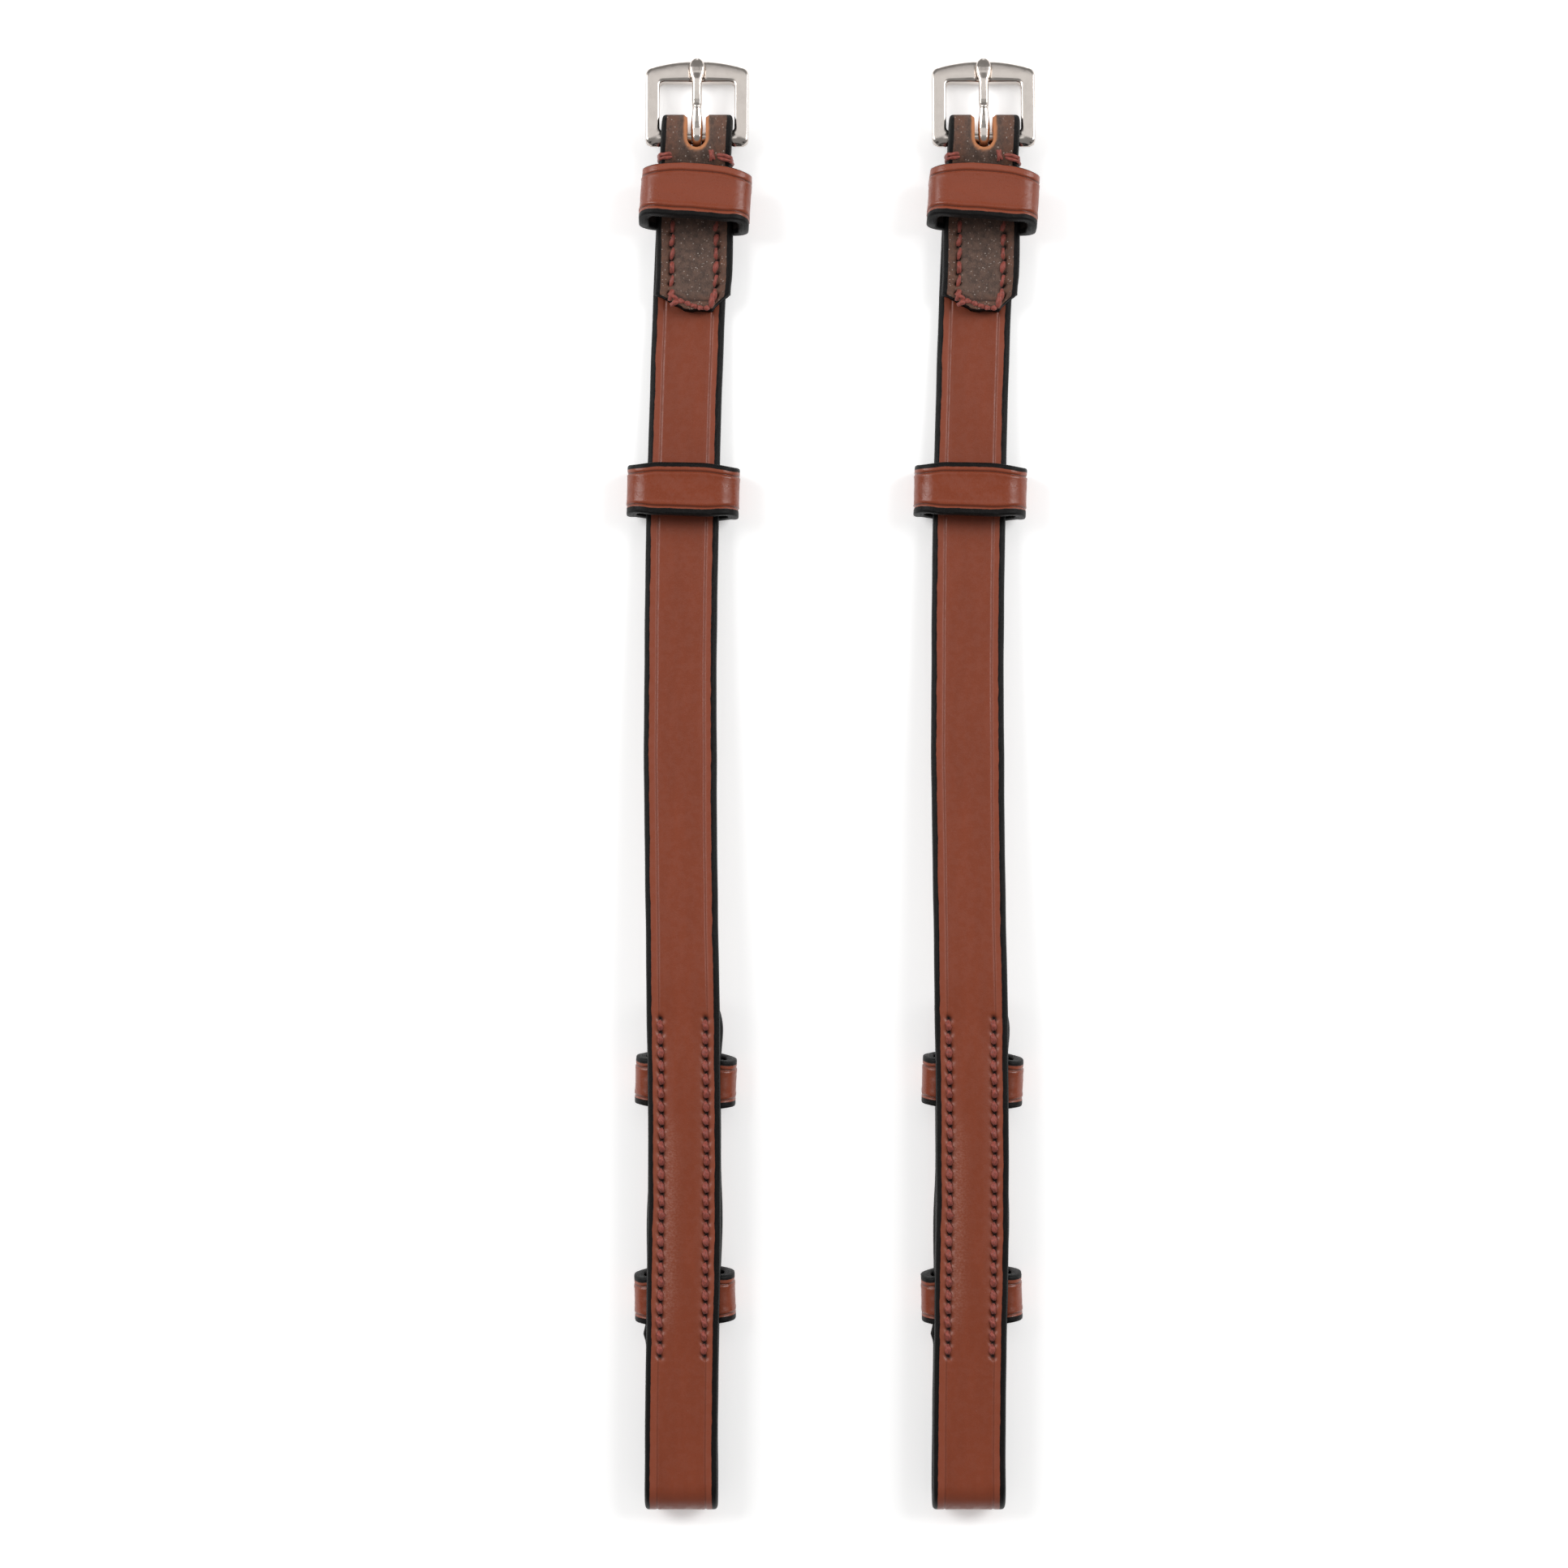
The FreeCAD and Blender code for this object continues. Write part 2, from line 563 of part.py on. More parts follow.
def buckle_place():
    """The bar's middle, with the frame sloping down to the table."""
    height = cell("leather") + cell("bar_room") + cell("bar_radius")
    return FreeCAD.Placement(V(cell("buckle_across"), cell("bar_along"), height),
                             FreeCAD.Rotation(V(1, 0, 0), cell("frame_tilt")))


def buckle_frame(label):
    """The frame: two arms and an arched crown, a round bar across its foot and a seat for the tongue."""
    body = new_body(label)
    half, window, foot = cell("frame_half"), cell("window_half"), cell("frame_foot")
    crown, inner, corner = cell("frame_crown"), cell("rail_inner"), cell("frame_corner")
    arch = cell("crown_radius")
    arch_middle = V(0, crown - arch, 0)
    shoulder = arch_middle + V(half - corner, math.sqrt((arch - corner) ** 2 - (half - corner) ** 2), 0)
    spoke = (shoulder - arch_middle).normalize()
    bisector = (spoke + V(1, 0, 0)).normalize()
    inside = corner * (1 - math.sqrt(0.5))
    plan = new_sketch(body, "XY_Plane")
    right = [(V(window, foot, 0), V(half - corner, foot, 0)),
             (V(half - corner, foot, 0), V(half - inside, foot + inside, 0), V(half, foot + corner, 0)),
             (V(half, foot + corner, 0), V(half, shoulder.y, 0)),
             (V(half, shoulder.y, 0), shoulder + bisector * corner, shoulder + spoke * corner),
             (V(window, foot, 0), V(window, inner - corner, 0)),
             (V(window, inner - corner, 0), V(window - inside, inner - inside, 0),
              V(window - corner, inner, 0))]
    left = [tuple(V(-point.x, point.y, 0) for point in edge) for edge in right]
    arch_end = shoulder + spoke * corner
    draw(plan, right + left)
    draw(plan, [(arch_end, V(0, crown, 0), V(-arch_end.x, arch_end.y, 0)),
                (V(window - corner, inner, 0), V(corner - window, inner, 0))])
    pad = feature(body, "Pad", plan, "Sizes.frame_thick", symmetric=True)

    level = cell("frame_thick") / 2
    rims = [f"Edge{number}" for number, edge in enumerate(pad.Shape.Edges, start=1)
            if all(abs(abs(vertex.Z) - level) < 1e-6 for vertex in edge.Vertexes)
            and abs(edge.CenterOfMass.z) > level - 1e-6]
    rounding = body.newObject("PartDesign::Fillet", f"{label}_rounding")
    rounding.Base = (pad, rims)
    rounding.setExpression("Radius", "Sizes.frame_round")
    body.Tip = rounding
    DOC.recompute()

    bar = new_sketch(body, "YZ_Plane")
    circle(bar, 0, 0, "Sizes.bar_radius", cell("bar_radius"))
    feature(body, "Pad", bar, "Sizes.window_half * 2 + Sizes.frame_thick", symmetric=True)

    seat = new_sketch(body, "XZ_Plane")
    circle(seat, 0, level - cell("seat_depth") + cell("seat_radius"), "Sizes.seat_radius",
           cell("seat_radius"))
    feature(body, "Pocket", seat, "Sizes.frame_crown * 3", symmetric=True)
    body.Placement = buckle_place()
    return body


def buckle_tongue(label):
    """The tongue: an eye on the bar, a slim shank and a leaf-shaped tip that rests on the crown."""
    body = new_body(label)
    low, high = cell("tongue_low"), cell("tongue_high")
    length, eye = cell("tongue_length"), cell("tongue_eye")
    side = new_sketch(body, "YZ_Plane")
    root = math.sqrt(eye ** 2 - low ** 2)
    draw(side, [(V(0, eye, 0), V(-eye, 0, 0), V(0, -eye, 0)),
                (V(0, -eye, 0), V(eye * math.cos(0.3), -eye * math.sin(0.3), 0), V(root, low, 0)),
                (V(root, low, 0), V(length - 1.6, low, 0)),
                (V(length - 1.6, low, 0), V(length, (low + high) / 2, 0), V(length - 1.4, high, 0)),
                (V(length - 1.4, high, 0), V(length * 0.62, high + 0.15, 0), V(0, eye, 0))])
    feature(body, "Pad", side, "Sizes.tongue_width", symmetric=True)

    bore = new_sketch(body, "YZ_Plane")
    circle(bore, 0, 0, "Sizes.bar_radius + Sizes.tongue_room", cell("bar_radius") + cell("tongue_room"))
    feature(body, "Pocket", bore, "Sizes.tongue_width * 2", symmetric=True)

    waist = new_sketch(body, "XY_Plane")
    half, shank = cell("tongue_width") / 2, cell("tongue_shank") / 2
    for sign in (-1, 1):
        draw(waist, [(V(sign * (half + 1), -eye - 1, 0), V(sign * shank, -eye - 1, 0)),
                     (V(sign * shank, -eye - 1, 0), V(sign * shank, length * 0.6, 0)),
                     (V(sign * shank, length * 0.6, 0), V(sign * half, length * 0.8, 0)),
                     (V(sign * half, length * 0.8, 0), V(sign * half * 0.45, length + 1, 0)),
                     (V(sign * half * 0.45, length + 1, 0), V(sign * (half + 1), length + 1, 0)),
                     (V(sign * (half + 1), length + 1, 0), V(sign * (half + 1), -eye - 1, 0))])
    feature(body, "Pocket", waist, "Sizes.tongue_high * 4", symmetric=True)
    body.Placement = buckle_place()
    return body


def hook_stud(label):
    """The stud: a round plate above the lining, a post through it and a hook under the billet."""
    body = new_body(label)
    across, along = bow(cell("stud_along")), cell("stud_along")
    roof = cell("lining_bottom") + cell("lining_leather")
    plate = new_sketch(body, "XY_Plane", roof - cell("stud_plate"))
    circle(plate, across, along, "Sizes.stud_plate_radius", cell("stud_plate_radius"))
    feature(body, "Pad", plate, "Sizes.stud_plate")
    post = new_sketch(body, "XY_Plane", cell("hook_bottom"))
    circle(post, across, along, "Sizes.post_radius", cell("post_radius"))
    feature(body, "Pad", post, "Sizes.lining_bottom + Sizes.lining_leather - Sizes.hook_bottom")
    hook = new_sketch(body, "XY_Plane", cell("hook_bottom"))
    half, reach = cell("hook_half"), cell("hook_length")
    left, right = across - half, across + half
    draw(hook, [(V(left, along, 0), V(across, along - half, 0), V(right, along, 0)),
                (V(right, along, 0), V(right, along + reach - half, 0)),
                (V(right, along + reach - half, 0), V(across, along + reach, 0),
                 V(left, along + reach - half, 0)),
                (V(left, along + reach - half, 0), V(left, along, 0))])
    feature(body, "Pad", hook, "Sizes.hook_top - Sizes.hook_bottom")
    return body


# ---- thread ----------------------------------------------------------------------------------------

def stitch(centre, across_row=False):
    """One stitch lying on the leather: a short round-ended length of thread."""
    radius, straight = cell("thread_radius"), cell("stitch_length") - 2 * cell("thread_radius")
    along = V(1, 0, 0) if across_row else V(0, 1, 0)
    start = centre - along * (straight / 2)
    barrel = Part.makeCylinder(radius, straight, start, along)
    ends = [Part.makeSphere(radius, start), Part.makeSphere(radius, start + along * straight)]
    return barrel.multiFuse(ends).removeSplitter()


def thread_part(label, stitches):
    """A row of stitches as a group of separate solids."""
    part = DOC.addObject("Part::Feature", label)
    part.Label = label
    part.Shape = Part.makeCompound(stitches)
    return part


def billet_thread(label, side):
    """One row through strap and lining: a stitch on the strap's face and one under the lining."""
    sunk = cell("thread_radius") / 2
    face = cell("lower_bottom") + cell("leather") - sunk
    under = cell("lining_bottom") + cell("thread_radius")
    offset = side * (cell("strap_width") / 2 - cell("row_inset"))
    stitches = []
    for number in range(int(cell("row_count"))):
        along = cell("first_stitch") - number * cell("stitch_pitch")
        across = bow(along) + offset
        stitches.append(stitch(V(across, along, face)))
        stitches.append(stitch(V(across, along, under)))
    return thread_part(label, stitches)


def chape_thread(label):
    """The chape's thread: two rows down the flap, one across its end and one stitch each side above."""
    sunk = cell("thread_radius") / 2
    face = 2 * cell("leather") + cell("ply_gap") - sunk
    under = cell("thread_radius")
    offset = cell("strap_width") / 2 - cell("row_inset")
    stitches = []
    for number in range(int(cell("chape_row_count"))):
        along = cell("chape_row_start") - number * cell("stitch_pitch")
        for side in (-1, 1):
            for height in (face, under):
                stitches.append(stitch(V(bow(along) + side * offset, along, height)))
    along = cell("cross_row_along")
    count = int(cell("cross_row_count"))
    for number in range(count):
        across = bow(along) + (number - (count - 1) / 2) * cell("stitch_pitch")
        for height in (face, under):
            stitches.append(stitch(V(across, along, height), across_row=True))
    along = cell("over_edge_along")
    for side in (-1, 1):
        across = bow(along) + side * (cell("trimmed_half") - cell("stitch_length") * 0.6)
        stitches.append(stitch(V(across, along, under), across_row=True))
    return thread_part(label, stitches)


# ---- the pair --------------------------------------------------------------------------------------

def cheekpiece(side, line):
    """All the parts of one cheekpiece, carried to its own line."""
    parts = [
        cheek_strap(f"{side}_cheek_strap"),
        chape_fold(f"{side}_chape_fold"),
        billet_lining(f"{side}_billet_lining"),
        chape_keeper(f"{side}_chape_keeper"),
        runner_keeper(f"{side}_runner_keeper"),
        rear_keeper(f"{side}_upper_billet_keeper", "upper_keeper"),
        rear_keeper(f"{side}_lower_billet_keeper", "lower_keeper"),
        buckle_frame(f"{side}_buckle_frame"),
        buckle_tongue(f"{side}_buckle_tongue"),
        hook_stud(f"{side}_hook_stud"),
        chape_thread(f"{side}_chape_thread"),
        billet_thread(f"{side}_left_billet_thread", -1),
        billet_thread(f"{side}_right_billet_thread", 1),
    ]
    for part in parts:
        part.Placement = FreeCAD.Placement(V(line, 0, 0), FreeCAD.Rotation()) * part.Placement
    return parts


def write(parts):
    """Check every object and write each sub-part to its own file."""
    DOC.recompute()
    for item in DOC.Objects:
        if "Invalid" in item.State or "Error" in item.State:
            raise RuntimeError(f"{item.Name} failed: {item.State}")
    for part in parts:
        if part.Shape.isNull() or not part.Shape.isValid():
            raise RuntimeError(f"{part.Label} has no valid shape")
    os.makedirs("parts", exist_ok=True)
    for part in parts:
        part.Shape.exportStep(f"parts/{part.Label}.step")
        print(f"{part.Label}: {len(part.Shape.Solids)} solid(s), {part.Shape.Volume:.1f} mm3")


near_line = cell("near_line")
write(cheekpiece("near", near_line) + cheekpiece("off", near_line + cell("pair_pitch")))
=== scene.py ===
"""Looks of a pair of leather bridle cheekpieces, laid out as a Blender add-on.

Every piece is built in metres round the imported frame: folded leather strips with dyed and creased
edges, keepers, two-ply stitching, polished buckles and the studio that they lie in.
"""
import json
import math

import bmesh
import bpy
import numpy as np
from bpy.props import FloatProperty, FloatVectorProperty, IntProperty
from mathutils import Matrix, Vector


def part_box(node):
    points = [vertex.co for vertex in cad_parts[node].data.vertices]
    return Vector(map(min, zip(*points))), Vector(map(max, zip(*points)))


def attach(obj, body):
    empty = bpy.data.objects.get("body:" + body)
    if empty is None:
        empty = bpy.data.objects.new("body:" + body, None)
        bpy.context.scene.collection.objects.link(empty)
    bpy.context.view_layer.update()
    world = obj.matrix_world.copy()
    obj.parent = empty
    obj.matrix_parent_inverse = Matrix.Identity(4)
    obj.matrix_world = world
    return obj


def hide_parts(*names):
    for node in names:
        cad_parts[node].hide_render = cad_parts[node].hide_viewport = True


bl_info = {
    "name": "Bridle Cheekpieces",
    "version": (1, 0, 0),
    "blender": (4, 5, 0),
    "location": "3D View > Sidebar > Tack",
    "description": "Builds a pair of leather bridle cheekpieces round their packed frame",
    "category": "Object",
}

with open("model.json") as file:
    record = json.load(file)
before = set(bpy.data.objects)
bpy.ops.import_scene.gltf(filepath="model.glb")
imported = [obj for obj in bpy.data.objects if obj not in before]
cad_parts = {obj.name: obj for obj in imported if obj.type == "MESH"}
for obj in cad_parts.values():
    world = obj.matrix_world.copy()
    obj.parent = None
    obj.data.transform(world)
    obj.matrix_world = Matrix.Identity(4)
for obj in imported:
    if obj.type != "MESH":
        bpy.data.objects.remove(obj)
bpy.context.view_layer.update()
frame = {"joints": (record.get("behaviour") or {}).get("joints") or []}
SIDES = ("near", "off")
MM = 0.001


def node_box(node):
    """Lowest and highest corner of a CAD node."""
    low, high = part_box(node)
    return Vector(low), Vector(high)


def joint(name):
    """The frame's entry for one joint."""
    return next(entry for entry in frame["joints"] if entry["name"] == name)


def bar_of(side):
    """Middle of a buckle's bar, which is where its hinge is."""
    return Vector(joint(f"{side}_buckle_hinge")["pos_m"])


STRAP_LOW, STRAP_HIGH = node_box("near_cheek_strap")
BAR = bar_of("near")
BUCKLE_ACROSS = 2.42 * MM
BUCKLE_TILT = -12.4
LINE = {side: bar_of(side).x - BUCKLE_ACROSS for side in SIDES}


# ---- settings --------------------------------------------------------------------------------------

def length(name, default, description):
    """A length in metres."""
    return FloatProperty(name=name, default=default, description=description, unit="LENGTH", precision=5)


def colour(name, default, description):
    """A colour without alpha."""
    return FloatVectorProperty(name=name, default=default, description=description, subtype="COLOR",
                               size=3, min=0.0, max=1.0)


class TACK_PG_strap(bpy.types.PropertyGroup):
    """Sizes and colours of the leather strips."""
    leather: length("Leather", 2.8 * MM, "Thickness of the strap")
    half: length("Half width", 6.45 * MM, "Half width of the strap")
    trimmed: length("Trimmed half width", 6.3 * MM, "Half width where the chape passes the buckle")
    edge: length("Edge round", 0.8 * MM, "How far in from its edge the strap starts to round off")
    crease: length("Crease inset", 2.2 * MM, "Distance of the crease line from the edge")
    flap_end: length("Flap end", 83.8 * MM, "Y of the chape's stitched end")
    climb_start: length("Climb start", 82.0 * MM, "Y where the strap leaves the table")
    climb_end: length("Climb end", -36.0 * MM, "Y where it lies level again")
    billet_tip: length("Billet tip", -35.9 * MM, "Y of the billet's tip")
    grain: colour("Grain", (0.195, 0.038, 0.0135), "Brown of the smooth side")
    margin: colour("Margin", (0.225, 0.050, 0.022), "Lighter brown outside the creases")
    flesh: colour("Flesh side", (0.098, 0.055, 0.039), "Brown of the rough side")
    dye: colour("Edge dye", (0.003, 0.0026, 0.0026), "Black of the slicked edges")
    # Painted highlight: the pale tint laid over wrinkled grain where a sheen is painted on.
    painted_sheen: colour("Rubbed grain", (0.46, 0.25, 0.20), "Pale tint where the grain is rubbed and wrinkled")
    worn: colour("Worn flesh", (0.13, 0.05, 0.026), "Warmer brown of the rough side near its edges")
    raw: colour("Raw cut", (0.5, 0.2, 0.085), "Tan of an undyed cut")


class TACK_PG_thread(bpy.types.PropertyGroup):
    """Sizes and colour of the stitching."""
    radius: length("Radius", 0.54 * MM, "Radius of the thread")
    pitch: length("Pitch", 2.385 * MM, "Distance from hole to hole")
    inset: length("Inset", 2.5 * MM, "Distance of a row from the strap's edge")
    first: length("First hole", -41.6 * MM, "Y of the first hole in the lower rows")
    count: IntProperty(name="Stitches", default=25, description="Stitches in each of the lower rows")
    colour: colour("Thread", (0.23, 0.043, 0.028), "Reddish brown of the waxed thread")


class TACK_PG_metal(bpy.types.PropertyGroup):
    """Sizes and colour of the buckle and the stud."""
    crown: length("Crown", 14.16 * MM, "Height of the frame's crown from the bar")
    arch: length("Arch radius", 27.6 * MM, "Radius of the arched crown")
    half: length("Half width", 9.15 * MM, "Half width of the frame")
    window: length("Window half width", 6.65 * MM, "Half width of the frame's window")
    inner: length("Window height", 10.25 * MM, "Height of the window from the bar")
    thick: length("Thickness", 2.4 * MM, "Thickness of the frame")
    colour: colour("Steel", (0.60, 0.55, 0.51), "Tint of the polished steel")


class TACK_PG_stage(bpy.types.PropertyGroup):
    """Camera distance and lights of the studio."""
    height: length("Camera height", 0.95, "Height of the camera over the table")
    span: length("View width", 0.2788, "Width of the view at the straps")
    across: length("View middle", -8.6 * MM, "X of the middle of the view")
    along: length("View middle along", -0.15 * MM, "Y of the middle of the view")
    floor: colour("Floor", (0.96, 0.96, 0.96), "Colour of the table top")
    sides: FloatProperty(name="Sides", default=14.0, description="Power of each side softbox, in watts")
    back: FloatProperty(name="Back", default=3.1, description="Power of the far softbox, in watts")
    glow: FloatProperty(name="Glow", default=0.3, description="Light that comes up through the table top")
    world: FloatProperty(name="World", default=0.3, description="Strength of the even light of the room")


# ---- side view of a folded strip -------------------------------------------------------------------

class StripLine:
    """Middle line of a strip seen from its side, made of straight runs and tangent bends.

    A point on it is found by its distance along the line. Headings are in radians."""

    def __init__(self, first, second, heading):
        self.pen = (first, second, heading)
        self.total = 0.0
        self.steps = []
        self.marks = {}

    def mark(self, name):
        """Remember how far along the line the pen is."""
        self.marks[name] = self.total

    def run(self, distance):
        """A straight run."""
        first, second, heading = self.pen
        self.steps.append((self.total, distance, self.pen, 0.0))
        self.pen = (first + distance * math.cos(heading), second + distance * math.sin(heading), heading)
        self.total += distance

    def bend(self, radius, turn):
        """A round bend, to the left for a positive turn."""
        bending = math.copysign(1.0 / radius, turn)
        self.steps.append((self.total, abs(turn) * radius, self.pen, bending))
        self.pen = tuple(float(value) for value in self.follow(self.pen, abs(turn) * radius, bending))
        self.total += abs(turn) * radius

    def shift(self, distance, rise, radius):
        """Two opposite bends that carry the line forward and to one side."""
        height = abs(rise)
        reach = math.hypot(distance, 2 * radius - height)
        slope = math.asin(2 * radius / reach) - math.atan2(2 * radius - height, distance)
        turn = math.copysign(slope, rise)
        self.bend(radius, turn)
        self.run((distance - 2 * radius * math.sin(slope)) / math.cos(slope))
        self.bend(radius, -turn)

    @staticmethod
    def follow(pen, distance, bending):
        """Where the pen is after a distance on a run or a bend."""
        first, second, heading = pen
        if bending == 0.0:
            return (first + distance * np.cos(heading), second + distance * np.sin(heading),
                    heading + 0 * distance)
        turned = heading + distance * bending
        return (first + (np.sin(turned) - np.sin(heading)) / bending,
                second - (np.cos(turned) - np.cos(heading)) / bending, turned)

    def at(self, along):
        """Points and headings at an array of distances."""
        along = np.asarray(along, dtype=float)
        found = np.zeros((3, len(along)))
        for start, _, pen, bending in self.steps:
            here = along >= start - 1e-9
            found[:, here] = np.array(self.follow(pen, along[here] - start, bending))
        return found


def bump(value, centre, width):
    """A smooth hill of height 1."""
    return np.exp(-((value - centre) / width) ** 2)


def ease(value, low, high):
    """0 below low, 1 above high, and smooth between."""
    share = np.clip((value - low) / (high - low), 0.0, 1.0)
    return share * share * (3 - 2 * share)


def wobble(value, scale, seed):
    """A gentle irregular wave, the same on every run."""
    phase = 1.7 * seed
    return (np.sin(value / scale + phase) + 0.6 * np.sin(1.93 * value / scale + 2.1 * phase)
            + 0.4 * np.sin(3.71 * value / scale + 0.7 * phase)) / 2.0


# ---- strips as meshes ------------------------------------------------------------------------------

def spaced(total, coarse, zones):
    """Distances along a strip: coarse steps, with finer ones inside each (start, end, step) zone."""
    stops = [0.0]
    while stops[-1] < total - 1e-7:
        here = stops[-1]
        step = min([fine for start, end, fine in zones if start <= here < end] + [coarse])
        nearest = [start for start, _, _ in zones if here < start < here + step]
        stops.append(min([here + step, total] + nearest))
    if stops[-1] - stops[-2] < 0.25 * coarse and len(stops) > 2:
        stops.pop(-2)
    return np.array(stops)


def edge_profile(edge):
    """Distances from the edge and heights, 0 to 1, of a slicked round edge, from the face outwards."""
    angles = np.radians([90, 72, 56, 42, 29, 17, 7])
    inward = edge * (1 - np.cos(angles) ** 0.75)
    return inward, np.sin(angles) ** 0.75


def strip_mesh(name, line, stops, half, thick, inner, edge, relief, place):
    """A closed leather strip.

    half and thick are arrays of the half width and thickness at each stop, inner the distances from the
    edge of the columns on each face, relief(along, across, inward, face) the height added to a face, and
    place(first, second, heading, across, up, along) the way from the strip to the row's frame."""
    rounding, heights = edge_profile(edge)
    inward_face = np.concatenate([inner[::-1], rounding])
    height_face = np.concatenate([np.ones(len(inner)), heights])
    # One ring: the +face from the middle out to the right edge, then the -face back, then the left half.
    right = [(inward_face, height_face, 1.0), (inward_face[::-1], height_face[::-1], -1.0)]
    ring_inward = np.concatenate([part[0] for part in right] + [part[0] for part in right])
    ring_sign = np.concatenate([np.full(len(inward_face), 1.0), np.full(len(inward_face), 1.0),
                                np.full(len(inward_face), -1.0), np.full(len(inward_face), -1.0)])
    ring_up = np.concatenate([height_face, -height_face[::-1], -height_face, height_face[::-1]])
    middle = inner[-1]
    keep = np.ones(len(ring_inward), bool)
    keep[2 * len(inward_face)] = False
    keep[-1] = False
    ring_inward, ring_sign, ring_up = ring_inward[keep], ring_sign[keep], ring_up[keep]
    ring_face = np.clip(ring_up * 1.4, -1, 1)

    count, rows = len(ring_inward), len(stops)
    scale = half / middle
    across = ring_sign[None, :] * (middle - ring_inward[None, :]) * scale[:, None]
    inward = ring_inward[None, :] * scale[:, None]
    along = np.repeat(stops[:, None], count, axis=1)
    flat = np.abs(ring_up) > 0.999
    face = ring_face[None, :] * np.ones_like(across)
    lift = np.where(flat[None, :], relief(along, across, inward, face), 0.0)
    up = ring_up[None, :] * thick[:, None] / 2 + np.sign(ring_up)[None, :] * lift

    points, seconds, headings = line.at(stops)
    placed = place(points[:, None], seconds[:, None], headings[:, None], across, up, along)
    vertices = np.stack([np.broadcast_to(axis, across.shape) for axis in placed], axis=-1).reshape(-1, 3)
    start = np.arange(rows - 1)[:, None] * count + np.arange(count)[None, :]
    beside = np.arange(rows - 1)[:, None] * count + (np.arange(count)[None, :] + 1) % count
    quads = np.stack([start, beside, beside + count, start + count], axis=-1).reshape(-1, 4)
    faces = [tuple(face) for face in quads.tolist()]
    ends = [list(range(count))[::-1], [(rows - 1) * count + index for index in range(count)]]
    vertices, caps = capped(vertices, ends)
    faces += caps

    mesh = bpy.data.meshes.new(name)
    mesh.from_pydata(vertices.tolist(), [], faces)
    end_distance = np.minimum(stops - stops[0], stops[-1] - stops)
    nearest = np.minimum(inward, np.maximum(end_distance[:, None], 0.0) + 0.6 * MM)
    strip = np.stack([across, along, nearest], axis=-1).reshape(-1, 3) / MM
    side = np.broadcast_to(ring_face[None, :], across.shape).reshape(-1)
    extra = len(vertices) - len(strip)
    strip = np.vstack([strip, np.zeros((extra, 3))])
    side = np.concatenate([side, np.zeros(extra)])
    write_attribute(mesh, "strip", "FLOAT_VECTOR", strip)
    write_attribute(mesh, "side", "FLOAT", side)
    return mesh


def capped(vertices, ends):
    """Close each end of a tube with a fan round a middle point."""
    caps = []
    added = []
    for ring in ends:
        hub = len(vertices) + len(added)
        added.append(vertices[ring].mean(axis=0))
        caps += [(ring[index], ring[(index + 1) % len(ring)], hub) for index in range(len(ring))]
    return np.vstack([vertices, added]), caps


def write_attribute(mesh, name, kind, values):
    """Store one value or vector for each vertex."""
    layer = mesh.attributes.new(name, kind, "POINT")
    layer.data.foreach_set("vector" if kind == "FLOAT_VECTOR" else "value", np.asarray(values, float).ravel())


def smooth(mesh):
    """Smooth shading."""
    mesh.polygons.foreach_set("use_smooth", [True] * len(mesh.polygons))
    mesh.update()


def moved(mesh, matrix):
    """A copy of a mesh, carried by a matrix."""
    copy = mesh.copy()
    copy.transform(matrix)
    return copy


def show(name, mesh, material, body, nodes):
    """Make a piece of a mesh: its material, the body it rides on and the CAD nodes it stands for."""
    piece = bpy.data.objects.new(name, mesh)
    bpy.context.scene.collection.objects.link(piece)
    if material.name not in [held.name for held in mesh.materials if held]:
        mesh.materials.append(material)
    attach(piece, body)
    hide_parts(*nodes)
    return piece


# ---- shader groups ---------------------------------------------------------------------------------

